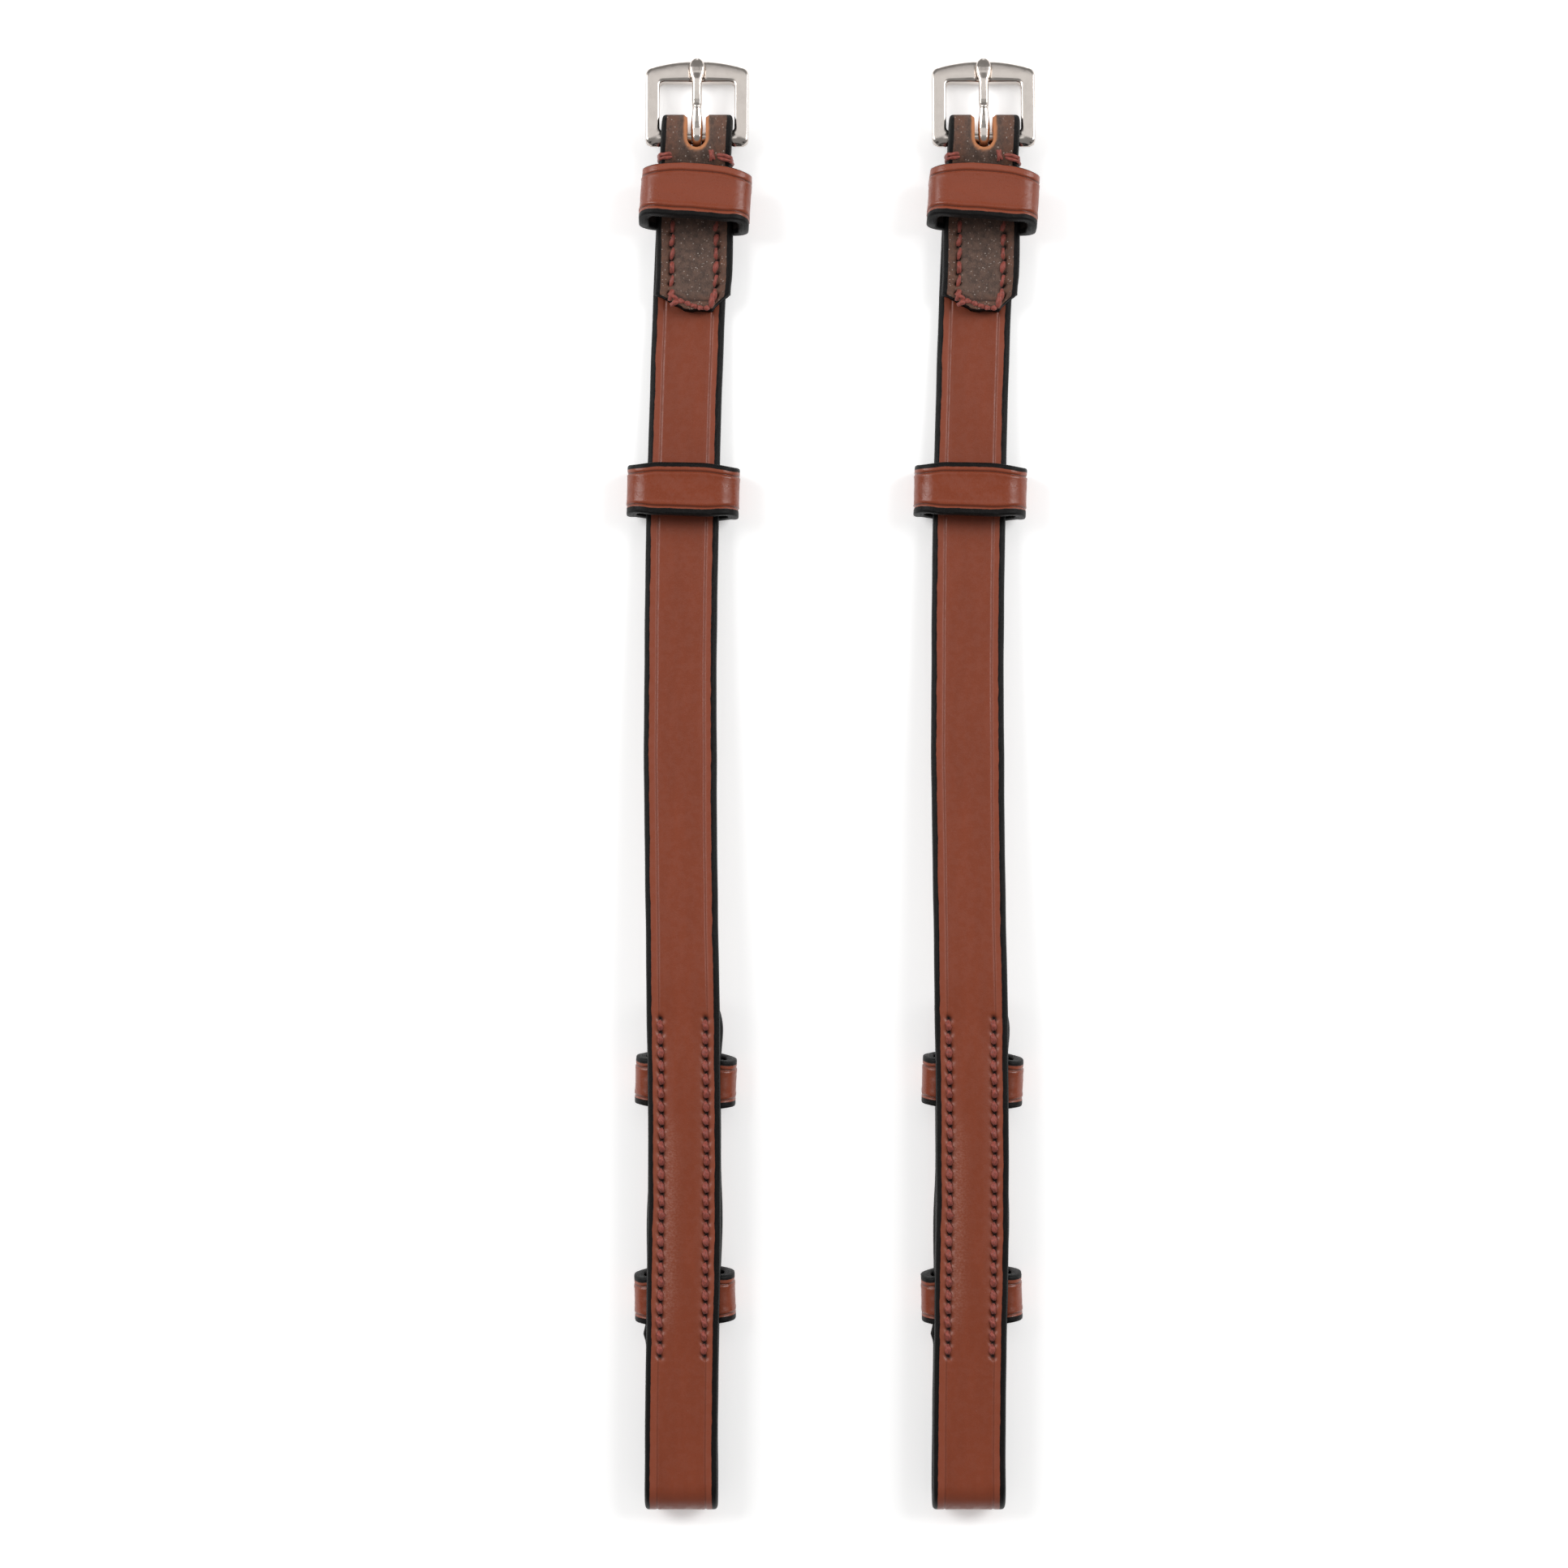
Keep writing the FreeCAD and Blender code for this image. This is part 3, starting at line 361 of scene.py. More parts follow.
class Nodes:
    """Short ways to add nodes to one tree."""

    def __init__(self, tree):
        self.tree = tree

    def add(self, kind, inputs=None, **settings):
        """A node with settings and inputs, each a value or a socket to link."""
        made = self.tree.nodes.new(kind)
        for key, value in settings.items():
            setattr(made, key, value)
        for key, value in (inputs or {}).items():
            if isinstance(value, bpy.types.NodeSocket):
                self.tree.links.new(value, made.inputs[key])
            else:
                made.inputs[key].default_value = value
        return made

    def math(self, operation, first, second=0.0, clamp=False):
        """The result of a Math node."""
        made = self.add("ShaderNodeMath", {0: first, 1: second}, operation=operation, use_clamp=clamp)
        return made.outputs[0]

    def plus(self, first, second):
        """The sum of two values."""
        return self.math("ADD", first, second)

    def minus(self, first, second):
        """The difference of two values."""
        return self.math("SUBTRACT", first, second)

    def times(self, first, second):
        """The product of two values."""
        return self.math("MULTIPLY", first, second)

    def link(self, source, target):
        """Join an output to an input."""
        self.tree.links.new(source, target)

    def attribute(self, name, output):
        """A mesh attribute."""
        return self.add("ShaderNodeAttribute", attribute_name=name).outputs[output]

    def mix(self, share, first, second):
        """Two values mixed by a share."""
        return self.add("ShaderNodeMix", {0: share, 2: first, 3: second}, data_type="FLOAT").outputs[0]

    def emboss(self, height, strength, distance, shader):
        """Give a shader's surface relief from a height."""
        made = self.add("ShaderNodeBump", {"Height": height, "Strength": strength, "Distance": distance})
        self.link(made.outputs[0], shader.inputs["Normal"])

    def ramp(self, value, low, high, to_low=0.0, to_high=1.0):
        """A smooth step from low to high."""
        made = self.add("ShaderNodeMapRange", {"Value": value, "From Min": low, "From Max": high,
                                               "To Min": to_low, "To Max": to_high})
        made.interpolation_type = "SMOOTHSTEP"
        return made.outputs["Result"]

    def blend(self, share, first, second):
        """Two colours mixed by a share."""
        return self.add("ShaderNodeMix", {0: share, 6: first, 7: second}, data_type="RGBA").outputs[2]

    def noise(self, vector, scale, detail=3.0, rough=0.55):
        """Noise between 0 and 1."""
        return self.add("ShaderNodeTexNoise", {"Vector": vector, "Scale": scale, "Detail": detail,
                                               "Roughness": rough}).outputs[0]

    def stretch(self, vector, factors):
        """A vector scaled on each axis."""
        return self.add("ShaderNodeVectorMath", {0: vector, 1: factors}, operation="MULTIPLY").outputs[0]


def group(name, inputs, outputs):
    """A new shader node group: its nodes, inputs and outputs. Inputs are (name, kind, default)."""
    tree = bpy.data.node_groups.new(name, "ShaderNodeTree")
    for label, kind, default in inputs:
        socket = tree.interface.new_socket(label, in_out="INPUT", socket_type=f"NodeSocket{kind}")
        if default is not None:
            socket.default_value = default
    for label, kind in outputs:
        tree.interface.new_socket(label, in_out="OUTPUT", socket_type=f"NodeSocket{kind}")
    given, result = tree.nodes.new("NodeGroupInput").outputs, tree.nodes.new("NodeGroupOutput").inputs
    return Nodes(tree), given, result


def grain_group():
    """Bridle leather's smooth side: fine pores in small cells, and a slow change of tone."""
    nodes, given, result = group(
        "Leather Grain", [("Vector", "Vector", None), ("Cell", "Float", 3.4), ("Wrinkle", "Float", 0.5)],
        [("Height", "Float"), ("Tone", "Float"), ("Sheen", "Float"), ("Wrinkles", "Float")])
    fine = nodes.noise(given["Vector"], given["Cell"], 3.0, 0.6)
    pores = nodes.add("ShaderNodeTexVoronoi", {"Vector": given["Vector"],
                                               "Scale": nodes.times(given["Cell"], 0.8)})
    pits = nodes.ramp(pores.outputs["Distance"], 0.05, 0.3)
    folds = nodes.noise(nodes.stretch(given["Vector"], (1.0, 2.2, 1.0)), 1.3, 4.0, 0.6)
    wrinkled = nodes.times(folds, given["Wrinkle"])
    height = nodes.plus(nodes.times(pits, 0.25), nodes.times(fine, 0.6))
    nodes.link(nodes.plus(height, wrinkled), result["Height"])
    slow = nodes.noise(nodes.stretch(given["Vector"], (0.35, 0.06, 0.3)), 1.0, 4.0, 0.6)
    speck = nodes.noise(given["Vector"], 3.2, 4.0, 0.7)
    tone = nodes.plus(nodes.times(slow, 0.7), nodes.times(speck, 0.3))
    nodes.link(tone, result["Tone"])
    nodes.link(nodes.ramp(nodes.noise(given["Vector"], 0.8, 5.0, 0.65), 0.35, 0.7), result["Sheen"])
    wide = nodes.stretch(given["Vector"], (1.0, 1.5, 1.0))
    nodes.link(nodes.noise(wide, 2.6, 4.0, 0.65), result["Wrinkles"])
    return nodes.tree


def nap_group():
    """The rough side of leather: matted fibres, hollows painted darker as shade and pale specks painted as
    glints.
    """
    nodes, given, result = group("Flesh Nap", [("Vector", "Vector", None)],
                                 [("Height", "Float"), ("Tone", "Float"), ("Painted Glints", "Float")])
    bent = nodes.add("ShaderNodeTexNoise", {"Vector": given["Vector"], "Scale": 1.3, "Detail": 2.0})
    pulled = nodes.add("ShaderNodeVectorMath", {0: given["Vector"], 1: bent.outputs["Color"]},
                       operation="ADD")
    fibres = nodes.noise(nodes.stretch(pulled.outputs[0], (3.0, 1.1, 2.0)), 2.6, 5.0, 0.7)
    clumps = nodes.noise(given["Vector"], 0.9, 4.0, 0.6)
    nodes.link(nodes.plus(fibres, nodes.times(clumps, 0.7)), result["Height"])
    # Tone follows the height: partly random tone, partly painted shade that darkens the hollows and lightens
    # the raised fibres.
    nodes.link(nodes.ramp(nodes.plus(nodes.times(fibres, 0.5),
                                         nodes.times(clumps, 0.5)), 0.36, 0.66), result["Tone"])
    # Painted highlights: pale specks that stand for glints on the nap.
    dots = nodes.add("ShaderNodeTexVoronoi", {"Vector": given["Vector"], "Scale": 2.1, "Randomness": 1.0})
    near = nodes.ramp(dots.outputs["Distance"], 0.3, 0.12)
    chosen = nodes.ramp(nodes.noise(given["Vector"], 1.1, 3.0), 0.47, 0.6)
    nodes.link(nodes.times(near, chosen), result["Painted Glints"])
    return nodes.tree


def dye_group():
    """Where edge dye covers the leather: a band along the edge with a slightly uneven border."""
    nodes, given, result = group(
        "Edge Dye", [("Vector", "Vector", None), ("Inward", "Float", 1.0), ("Width", "Float", 0.8),
                     ("Uneven", "Float", 0.25)], [("Mask", "Float"), ("Streaks", "Float")])
    drift = nodes.noise(nodes.stretch(given["Vector"], (0.25, 0.32, 0.0)), 1.0, 4.0, 0.6)
    border = nodes.plus(given["Width"], nodes.times(nodes.minus(drift, 0.5),
                                                          given["Uneven"]))
    depth = nodes.minus(border, given["Inward"])
    nodes.link(nodes.ramp(depth, -0.05, 0.08), result["Mask"])
    # Lengthwise streaks: they roughen the edge's bump and are painted on the black dye as pale highlights.
    lines = nodes.noise(nodes.stretch(given["Vector"], (5.0, 0.5, 5.0)), 1.0, 5.0, 0.75)
    nodes.link(nodes.ramp(lines, 0.5, 0.8), result["Streaks"])
    return nodes.tree


def crease_group():
    """The two lines that are pressed along a strip with a hot iron."""
    nodes, given, result = group(
        "Crease Line", [("Inward", "Float", 1.0), ("Inset", "Float", 2.2), ("Width", "Float", 0.18)],
        [("Line", "Float"), ("Margin", "Float")])
    distance = nodes.math("ABSOLUTE", nodes.minus(given["Inward"], given["Inset"]))
    nodes.link(nodes.ramp(nodes.math("DIVIDE", distance, given["Width"]), 1.0, 0.0), result["Line"])
    offset = nodes.minus(given["Inset"], given["Inward"])
    nodes.link(nodes.ramp(offset, -0.15, 0.2), result["Margin"])
    return nodes.tree


def wear_group():
    """Light marks of handling: a few fine scratches and small spots of dust."""
    nodes, given, result = group("Handling Marks", [("Vector", "Vector", None), ("Amount", "Float", 0.5)],
                                 [("Scratches", "Float"), ("Dust", "Float")])
    cut = nodes.noise(nodes.stretch(given["Vector"], (0.5, 5.0, 1.0)), 0.9, 3.0, 0.5)
    line = nodes.ramp(nodes.math("ABSOLUTE", nodes.minus(cut, 0.5)), 0.008, 0.0)
    where = nodes.ramp(nodes.noise(given["Vector"], 0.16, 2.0), 0.55, 0.72)
    nodes.link(nodes.times(nodes.times(line, where), given["Amount"]), result["Scratches"])
    dots = nodes.add("ShaderNodeTexVoronoi", {"Vector": given["Vector"], "Scale": 0.9})
    spot = nodes.ramp(dots.outputs["Distance"], 0.085, 0.03)
    few = nodes.ramp(nodes.noise(given["Vector"], 0.31, 2.0), 0.6, 0.7)
    nodes.link(nodes.times(nodes.times(spot, few), given["Amount"]), result["Dust"])
    return nodes.tree


def polish_group():
    """Polished steel: hairline marks and faint smears."""
    nodes, given, result = group("Polish Marks", [("Vector", "Vector", None), ("Scale", "Float", 1.0)],
                                 [("Height", "Float"), ("Smear", "Float")])
    point = nodes.add("ShaderNodeVectorMath", {0: given["Vector"], "Scale": given["Scale"]},
                      operation="SCALE")
    hair = nodes.noise(nodes.stretch(point.outputs[0], (0.6, 7.0, 1.0)), 1.6, 3.0, 0.6)
    nodes.link(hair, result["Height"])
    nodes.link(nodes.noise(point.outputs[0], 0.45, 4.0, 0.6), result["Smear"])
    return nodes.tree


GROUPS = {"grain": grain_group, "nap": nap_group, "dye": dye_group, "crease": crease_group,
          "wear": wear_group, "polish": polish_group}
_built = {}


def use_group(nodes, key, inputs):
    """Place a shared group in a material, building it the first time."""
    if key not in _built:
        _built[key] = GROUPS[key]()
    return nodes.add("ShaderNodeGroup", inputs, node_tree=_built[key]).outputs


# ---- materials -------------------------------------------------------------------------------------

def new_material(name):
    """An empty node material, its nodes and its Principled shader."""
    material = bpy.data.materials.new(name)
    material.use_nodes = True
    return material, Nodes(material.node_tree), material.node_tree.nodes["Principled BSDF"]


DUST = (0.45, 0.36, 0.32, 1.0)
# Pale colour of the glints painted on the flesh side.
PAINTED_GLINTS = (0.5, 0.42, 0.37, 1.0)
WAX = (0.5, 0.4, 0.36, 1.0)
# Near black painted into the stitch holes as the shade inside them.
HOLE_SHADE = (0.005, 0.003, 0.003, 1.0)


def kept_material(name, build):
    """The material of a name, built by build(nodes, shader) the first time it is asked for."""
    material = bpy.data.materials.get(name)
    if material is None:
        material, nodes, shader = new_material(name)
        build(nodes, shader)
    return material


def opaque(value):
    """A colour with full alpha."""
    return (*value, 1.0)


def shade(value, factor):
    """A colour made darker or lighter."""
    return opaque([min(1.0, channel * factor) for channel in value])


def leather_material(name, look):
    """Bridle leather: grain side, flesh side, dyed edges, creases, raw cuts and stitch holes.

    look holds the crease inset, the dye's width on each edge, the gloss, how bright the flesh side is
    (darkened as painted shade inside the keepers), how strongly the grain wrinkles, and how wide the crease
    is and how dark its painted shade is."""
    return kept_material(name, lambda nodes, shader: build_leather(nodes, shader, look))


def build_leather(nodes, shader, look):
    """The nodes of a leather material."""
    looks = bpy.context.scene.tack_strap
    strip, marks = nodes.attribute("strip", "Vector"), nodes.attribute("marks", "Vector")
    side, extra = nodes.attribute("side", "Fac"), nodes.attribute("dye", "Fac")
    # marks: stitch holes painted dark as shade, raw cuts, and where a sheen is painted on as a highlight (it
    # also lowers roughness and deepens the wrinkles).
    holes, raw, sheen = nodes.add("ShaderNodeSeparateXYZ", {0: marks}).outputs
    across, along, inward = nodes.add("ShaderNodeSeparateXYZ", {0: strip}).outputs
    is_grain = nodes.ramp(side, -0.1, 0.1)
    spread = nodes.add("ShaderNodeCombineXYZ", {"X": across, "Y": along, "Z": nodes.times(side, 2.0)})
    spread = spread.outputs[0]

    to_right = nodes.plus(nodes.ramp(across, -1.0, 1.0, look["dye_left"], look["dye_right"]), extra)
    grain = use_group(nodes, "grain", {"Vector": spread, "Cell": 3.4,
                                       "Wrinkle": nodes.ramp(sheen, 0.0, 1.0, look["wrinkle"], 1.6)})
    nap = use_group(nodes, "nap", {"Vector": spread})
    dye = use_group(nodes, "dye", {"Vector": spread, "Inward": inward, "Width": to_right, "Uneven": 0.45})
    lines = use_group(nodes, "crease", {"Inward": inward, "Inset": look["crease"] / MM,
                                        "Width": look["groove"]})
    wear = use_group(nodes, "wear", {"Vector": spread, "Amount": 0.6})

    smooth_side = nodes.blend(grain["Tone"], shade(looks.grain, 0.8), shade(looks.grain, 1.2))
    # Painted shade: the crease line is darkened toward a dark grain brown, less where the sheen is painted.
    pressed = nodes.times(lines["Line"], nodes.math("SUBTRACT", 1.0, sheen, clamp=True))
    for share, colour_over in ((nodes.times(lines["Margin"], 0.75), opaque(looks.margin)),
                               (nodes.times(pressed, look["crease_shade"]), shade(looks.grain, 0.3)),
                               (nodes.times(wear["Scratches"], 0.3), shade(looks.margin, 2.0)),
                               (nodes.times(wear["Dust"], 0.5), DUST)):
        smooth_side = nodes.blend(share, smooth_side, colour_over)
    # Flesh brightness: below 1, as on the keepers, it darkens their inner faces as painted shade.
    inside = look["inside"]
    # Flesh colour from the nap's tone: darker in its hollows and lighter on its fibres, partly painted shade
    # and light.
    rough_side = nodes.blend(nap["Tone"], shade(looks.flesh, 0.5 * inside), shade(looks.flesh, 1.35 * inside))
    outer = nodes.times(nodes.ramp(inward, 3.8, 2.4), nodes.ramp(nap["Tone"], 0.0, 1.0, 0.25, 0.8))
    rough_side = nodes.blend(outer, rough_side, shade(looks.worn, inside))
    # Painted highlights: pale glint specks on the flesh side.
    rough_side = nodes.blend(nodes.times(nap["Painted Glints"], 0.7 * inside), rough_side, PAINTED_GLINTS)
    # Painted highlight: the sheen mark lays a pale tint over the wrinkled grain.
    painted_sheen = nodes.times(sheen, nodes.ramp(grain["Wrinkles"], 0.35, 0.75, 0.04, 0.36))
    smooth_side = nodes.blend(painted_sheen, smooth_side, opaque(looks.painted_sheen))
    surface = nodes.blend(is_grain, rough_side, smooth_side)
    # Painted highlight: pale streaks painted along the black edge dye.
    edge = nodes.blend(nodes.times(dye["Streaks"], 0.6), opaque(looks.dye), shade(looks.dye, 5.0))
    # Dyed edges and raw cuts take their own colours; the stitch holes are painted near black as shade.
    for share, colour_over in ((dye["Mask"], edge), (raw, opaque(looks.raw)), (holes, HOLE_SHADE)):
        surface = nodes.blend(share, surface, colour_over)
    nodes.link(surface, shader.inputs["Base Color"])

    polish = nodes.ramp(grain["Sheen"], 0.0, 1.0, look["gloss"], look["gloss"] + 0.14)
    rough = nodes.mix(is_grain, 0.62, nodes.minus(polish, nodes.times(sheen, 0.1)))
    for share, roughness in ((dye["Mask"], 0.46), (raw, 0.8), (holes, 0.9)):
        rough = nodes.mix(share, rough, roughness)
    nodes.link(rough, shader.inputs["Roughness"])
    nodes.link(nodes.mix(dye["Mask"], 0.4, 0.14), shader.inputs["Specular IOR Level"])
    top = nodes.plus(grain["Height"], nodes.times(dye["Streaks"], nodes.times(dye["Mask"], 1.6)))
    nodes.emboss(nodes.mix(is_grain, nodes.times(nap["Height"], 5.0), top), 0.6, 0.045 * MM, shader)


def build_thread(nodes, shader):
    """The nodes of waxed two-ply thread: fibres that run with the twist."""
    looks = bpy.context.scene.tack_thread
    strip = nodes.attribute("strip", "Vector")
    fibres = nodes.noise(nodes.stretch(strip, (6.0, 1.2, 6.0)), 1.4, 4.0, 0.65)
    wear = use_group(nodes, "wear", {"Vector": strip, "Amount": 0.4})
    tint = nodes.blend(nodes.ramp(fibres, 0.3, 0.7), shade(looks.colour, 0.55), shade(looks.colour, 1.45))
    nodes.link(nodes.blend(wear["Dust"], tint, WAX), shader.inputs["Base Color"])
    nodes.link(nodes.ramp(fibres, 0.2, 0.8, 0.5, 0.7), shader.inputs["Roughness"])
    nodes.emboss(fibres, 0.6, 0.05 * MM, shader)
    shader.inputs["Sheen Weight"].default_value = 0.15


def build_steel(nodes, shader):
    """The nodes of polished stainless steel with faint marks."""
    looks = bpy.context.scene.tack_metal
    where = nodes.add("ShaderNodeTexCoord").outputs["Object"]
    marks = use_group(nodes, "polish", {"Vector": where, "Scale": 1 / MM})
    tint = nodes.blend(marks["Smear"], shade(looks.colour, 0.93), shade(looks.colour, 1.06))
    nodes.link(tint, shader.inputs["Base Color"])
    shader.inputs["Metallic"].default_value = 1.0
    nodes.link(nodes.ramp(marks["Smear"], 0.3, 0.7, 0.15, 0.26), shader.inputs["Roughness"])
    nodes.emboss(marks["Height"], 0.08, 0.02 * MM, shader)


# ---- the strap -------------------------------------------------------------------------------------

PLY_GAP = 0.05 * MM
FLAP_DROP = 9 * MM
LOOP_RADIUS = 3.5 * MM
BILLET_MIDDLE = 3.5 * MM
TIP_LENGTH = 9 * MM


def bow(along):
    """X of a strap's middle from its own line: a long arc above, a slight double curve below."""
    along = np.asarray(along, dtype=float)
    upper = -0.5 * MM + np.maximum(along - 10 * MM, 0.0) ** 2 / (2 * 1898 * MM)
    lower = 0.79 * MM * ease(-along, -10 * MM, 68 * MM) - 0.58 * MM * ease(-along, 68 * MM, 120 * MM)
    return upper + lower


def strap_line():
    """The strip from the flap's end, round the bar and the bit loop, to the billet's tip."""
    sizes = bpy.context.scene.tack_strap
    leather = sizes.leather
    fold = BAR.z - leather / 2
    flap = leather * 1.5 + PLY_GAP
    top = STRAP_HIGH.z - leather / 2
    loop_along = STRAP_LOW.y + LOOP_RADIUS + leather / 2
    line = StripLine(sizes.flap_end, flap, 0.0)
    line.run(BAR.y - FLAP_DROP - sizes.flap_end)
    line.shift(FLAP_DROP, leather / 2 + 2 * fold - flap, 8.1 * MM)
    line.mark("fold")
    line.bend(fold, -math.pi)
    line.mark("fold_end")
    line.run(BAR.y - sizes.climb_start)
    line.shift(sizes.climb_start - sizes.climb_end, -(top - leather / 2), 40 * MM)
    line.mark("level")
    line.run(sizes.climb_end - loop_along)
    line.mark("loop")
    line.bend(LOOP_RADIUS, math.pi)
    line.mark("loop_end")
    line.run(6 * MM)
    line.shift(15 * MM, BILLET_MIDDLE - line.pen[1], 24 * MM)
    line.mark("billet")
    line.run(sizes.billet_tip - line.pen[0])
    return line


def lower_holes():
    """Y of every stitch hole of the lower rows."""
    thread = bpy.context.scene.tack_thread
    return [thread.first - number * thread.pitch for number in range(thread.count + 1)]


FLAP_HOLES = [100.0 * MM - number * 2.42 * MM for number in range(7)]
CHAPE_DRIFT = 0.72 * MM
STUD_RADIUS = 3.2 * MM


def strap_mesh():
    """One folded strap at its own line, with its creases, crown and stitch holes."""
    sizes = bpy.context.scene.tack_strap
    thread = bpy.context.scene.tack_thread
    line = strap_line()
    level, fold, tip = line.marks["level"], line.marks["fold"], line.total
    hole_rows = [level + sizes.climb_end - along for along in lower_holes()]
    flap_rows = [along - sizes.flap_end for along in FLAP_HOLES]
    rows_start, rows_end = hole_rows[0], hole_rows[-1]
    zones = [(0.0, 15 * MM, 0.3 * MM), (fold - 4 * MM, line.marks["fold_end"] + 3 * MM, 0.35 * MM),
             (rows_start - 2 * MM, rows_end + 2 * MM, 0.3 * MM),
             (line.marks["loop"], line.marks["loop_end"], 0.35 * MM),
             (line.marks["billet"] + 28 * MM, line.marks["billet"] + 44 * MM, 0.5 * MM),
             (tip - 10 * MM, tip - 1 * MM, 0.5 * MM), (tip - 1 * MM, tip, 0.12 * MM)]
    stops = spaced(line.total, 1.3 * MM, zones)
    first, _, _ = line.at(stops)
    half = sizes.half - (sizes.half - sizes.trimmed) * ease(first, 106 * MM, 112 * MM)
    half = half + 0.06 * MM * wobble(stops, 7 * MM, 3)
    half = half + 0.35 * MM * (1 - ease(stops, 14 * MM, 22 * MM))
    billet_from_top = tip - stops
    swell = 0.3 * MM * bump(billet_from_top, 42 * MM, 7 * MM)
    half = half + np.where(stops > line.marks["billet"], swell, 0.0)
    tip_share = np.clip((stops - (tip - TIP_LENGTH)) / TIP_LENGTH, 0, 1)
    tip_half = sizes.half * np.sqrt(np.maximum(1 - tip_share ** 2.6, 0.03))
    half = np.where(stops > tip - TIP_LENGTH, tip_half, half)
    thick = np.full(len(stops), sizes.leather)
    for end_distance in (stops, tip - stops):
        thick *= 1 - 0.35 * np.exp(-end_distance / (0.25 * MM))
    inner = np.array([0.8, 1.2, 1.6, 1.85, 2.05, 2.2, 2.35, 2.5, 2.65, 2.8, 2.95, 3.15, 3.4, 3.7, 3.95,
                      4.15, 4.3, 4.45, 4.6, 4.75, 4.95, 5.3, 5.8, 6.45]) * MM
    row_inward = thread.inset

    def hole_marks(along, across, inward):
        found = np.zeros_like(along)
        lean = 0.35 * np.where(across > 0, inward - row_inward, row_inward - inward)
        for rows, inset, size in ((hole_rows, row_inward, 0.5 * MM),
                                  (flap_rows, row_inward + 0.25 * MM, 0.42 * MM)):
            near_row = bump(inward, inset, 0.52 * MM)
            for centre in rows:
                found = np.maximum(found, bump(along + lean, centre, size) * near_row)
        return found

    def relief(along, across, inward, face):
        grain = face < 0
        stitched = ease(along, rows_start - 1 * MM, rows_start + 9 * MM)
        stitched = stitched * (1 - ease(along, rows_end - 9 * MM, rows_end + 1 * MM))
        past_rows = ease(along, rows_end - 2 * MM, rows_end + 5 * MM)
        creased = 1 - ease(along, rows_start - 5 * MM, rows_start + 2 * MM) * (1 - past_rows)
        creased = creased * (along > line.marks["fold_end"])
        lift = -0.11 * MM * bump(inward, sizes.crease, 0.16 * MM) * creased
        lift = lift + 0.03 * MM * bump(inward, sizes.crease + 0.45 * MM, 0.2 * MM) * creased
        crown = ease(inward, row_inward, row_inward + 2.6 * MM)
        lift = lift + stitched * (0.3 * MM * crown - 0.22 * MM * bump(inward, row_inward, 0.6 * MM))
        lift = np.where(grain, lift, 0.0)
        flap_here = (along < fold) & (face > 0)
        nap = 0.07 * MM * wobble(along * 1.3 + across * 2.1, 0.5 * MM, 2)
        nap = nap * wobble(across - along, 0.4 * MM, 7)
        lift = lift + np.where(flap_here, nap - 0.2 * MM * bump(inward, row_inward, 0.45 * MM)
                               * (along < 14 * MM), 0.0)
        top_side = grain | flap_here
        return lift - np.where(top_side, 0.75 * MM * hole_marks(along, across, inward), 0.0)

    def place(first_, second, heading, across, up, along):
        drift = CHAPE_DRIFT * ease(fold - along, 2 * MM, 26 * MM) * (along < fold)
        drift = drift + 0.55 * MM * (1 - ease(tip - along, 7 * MM, 15 * MM)) * (along > line.marks["billet"])
        left_cut = np.clip((-1.4 * MM - across) / (5.1 * MM), 0, 1) ** 0.9
        right_cut = np.clip((across - 3.6 * MM) / (3.0 * MM), 0, 1) ** 0.8
        ragged = 2.9 * MM * np.maximum(left_cut, right_cut) + 0.13 * MM * wobble(across, 0.5 * MM, 3)
        x = bow(first_) + drift + across
        first_ = first_ + ragged * (1 - ease(along, 0.0, 7 * MM)) * (along < fold)
        return x, first_ - np.sin(heading) * up, second + np.cos(heading) * up

    # The pen's left is the flesh side, so the section is built with that side up.
    mesh = strip_mesh("cheek_strap", line, stops, half, thick, inner, sizes.edge, relief, place)
    strip = read_attribute(mesh, "strip", 3)
    side = -read_attribute(mesh, "side", 1)[:, 0]
    mesh.attributes["side"].data.foreach_set("value", side)
    along, across, inward = strip[:, 1] * MM, strip[:, 0] * MM, strip[:, 2] * MM
    # Stitch holes, which the shader paints near black as the shade inside them.
    holes = np.clip(hole_marks(along, across, inward) * 1.5 - 0.25, 0, 1) * (np.abs(side) > 0.9)
    holes *= (side > 0) | (along < fold)
    # A painted highlight on the grain's left third between the lower rows, carried as the sheen mark.
    third = bump(across, -2.6 * MM, 1.5 * MM) * ease(along, rows_start + 14 * MM, rows_start + 24 * MM)
    sheen = third * (1 - ease(along, rows_end - 12 * MM, rows_end)) * (side > 0.9) * 0.9
    write_marks(mesh, holes, np.zeros_like(holes), sheen)
    return mesh


def read_attribute(mesh, name, width):
    """An attribute's values as rows."""
    values = np.zeros(len(mesh.vertices) * width)
    mesh.attributes[name].data.foreach_get("vector" if width == 3 else "value", values)
    return values.reshape(-1, width)


def write_marks(mesh, holes, raw, sheen=None):
    """Where stitch holes (painted dark as shade), raw cuts and a painted sheen on wrinkled grain show, from 0
    to 1.
    """
    if "marks" in mesh.attributes:
        mesh.attributes.remove(mesh.attributes["marks"])
    sheen = np.zeros_like(raw) if sheen is None else sheen
    write_attribute(mesh, "marks", "FLOAT_VECTOR", np.stack([holes, raw, sheen], axis=-1))


def slot_outline(middle, end, radius, reach):
    """A slot with one round end, as points from its open end round to its open end."""
    arc = [(middle + radius * math.cos(angle), end + radius + radius * math.sin(angle))
           for angle in np.linspace(0, -math.pi, 20)]
    return [(middle + radius, reach)] + arc + [(middle - radius, reach)]


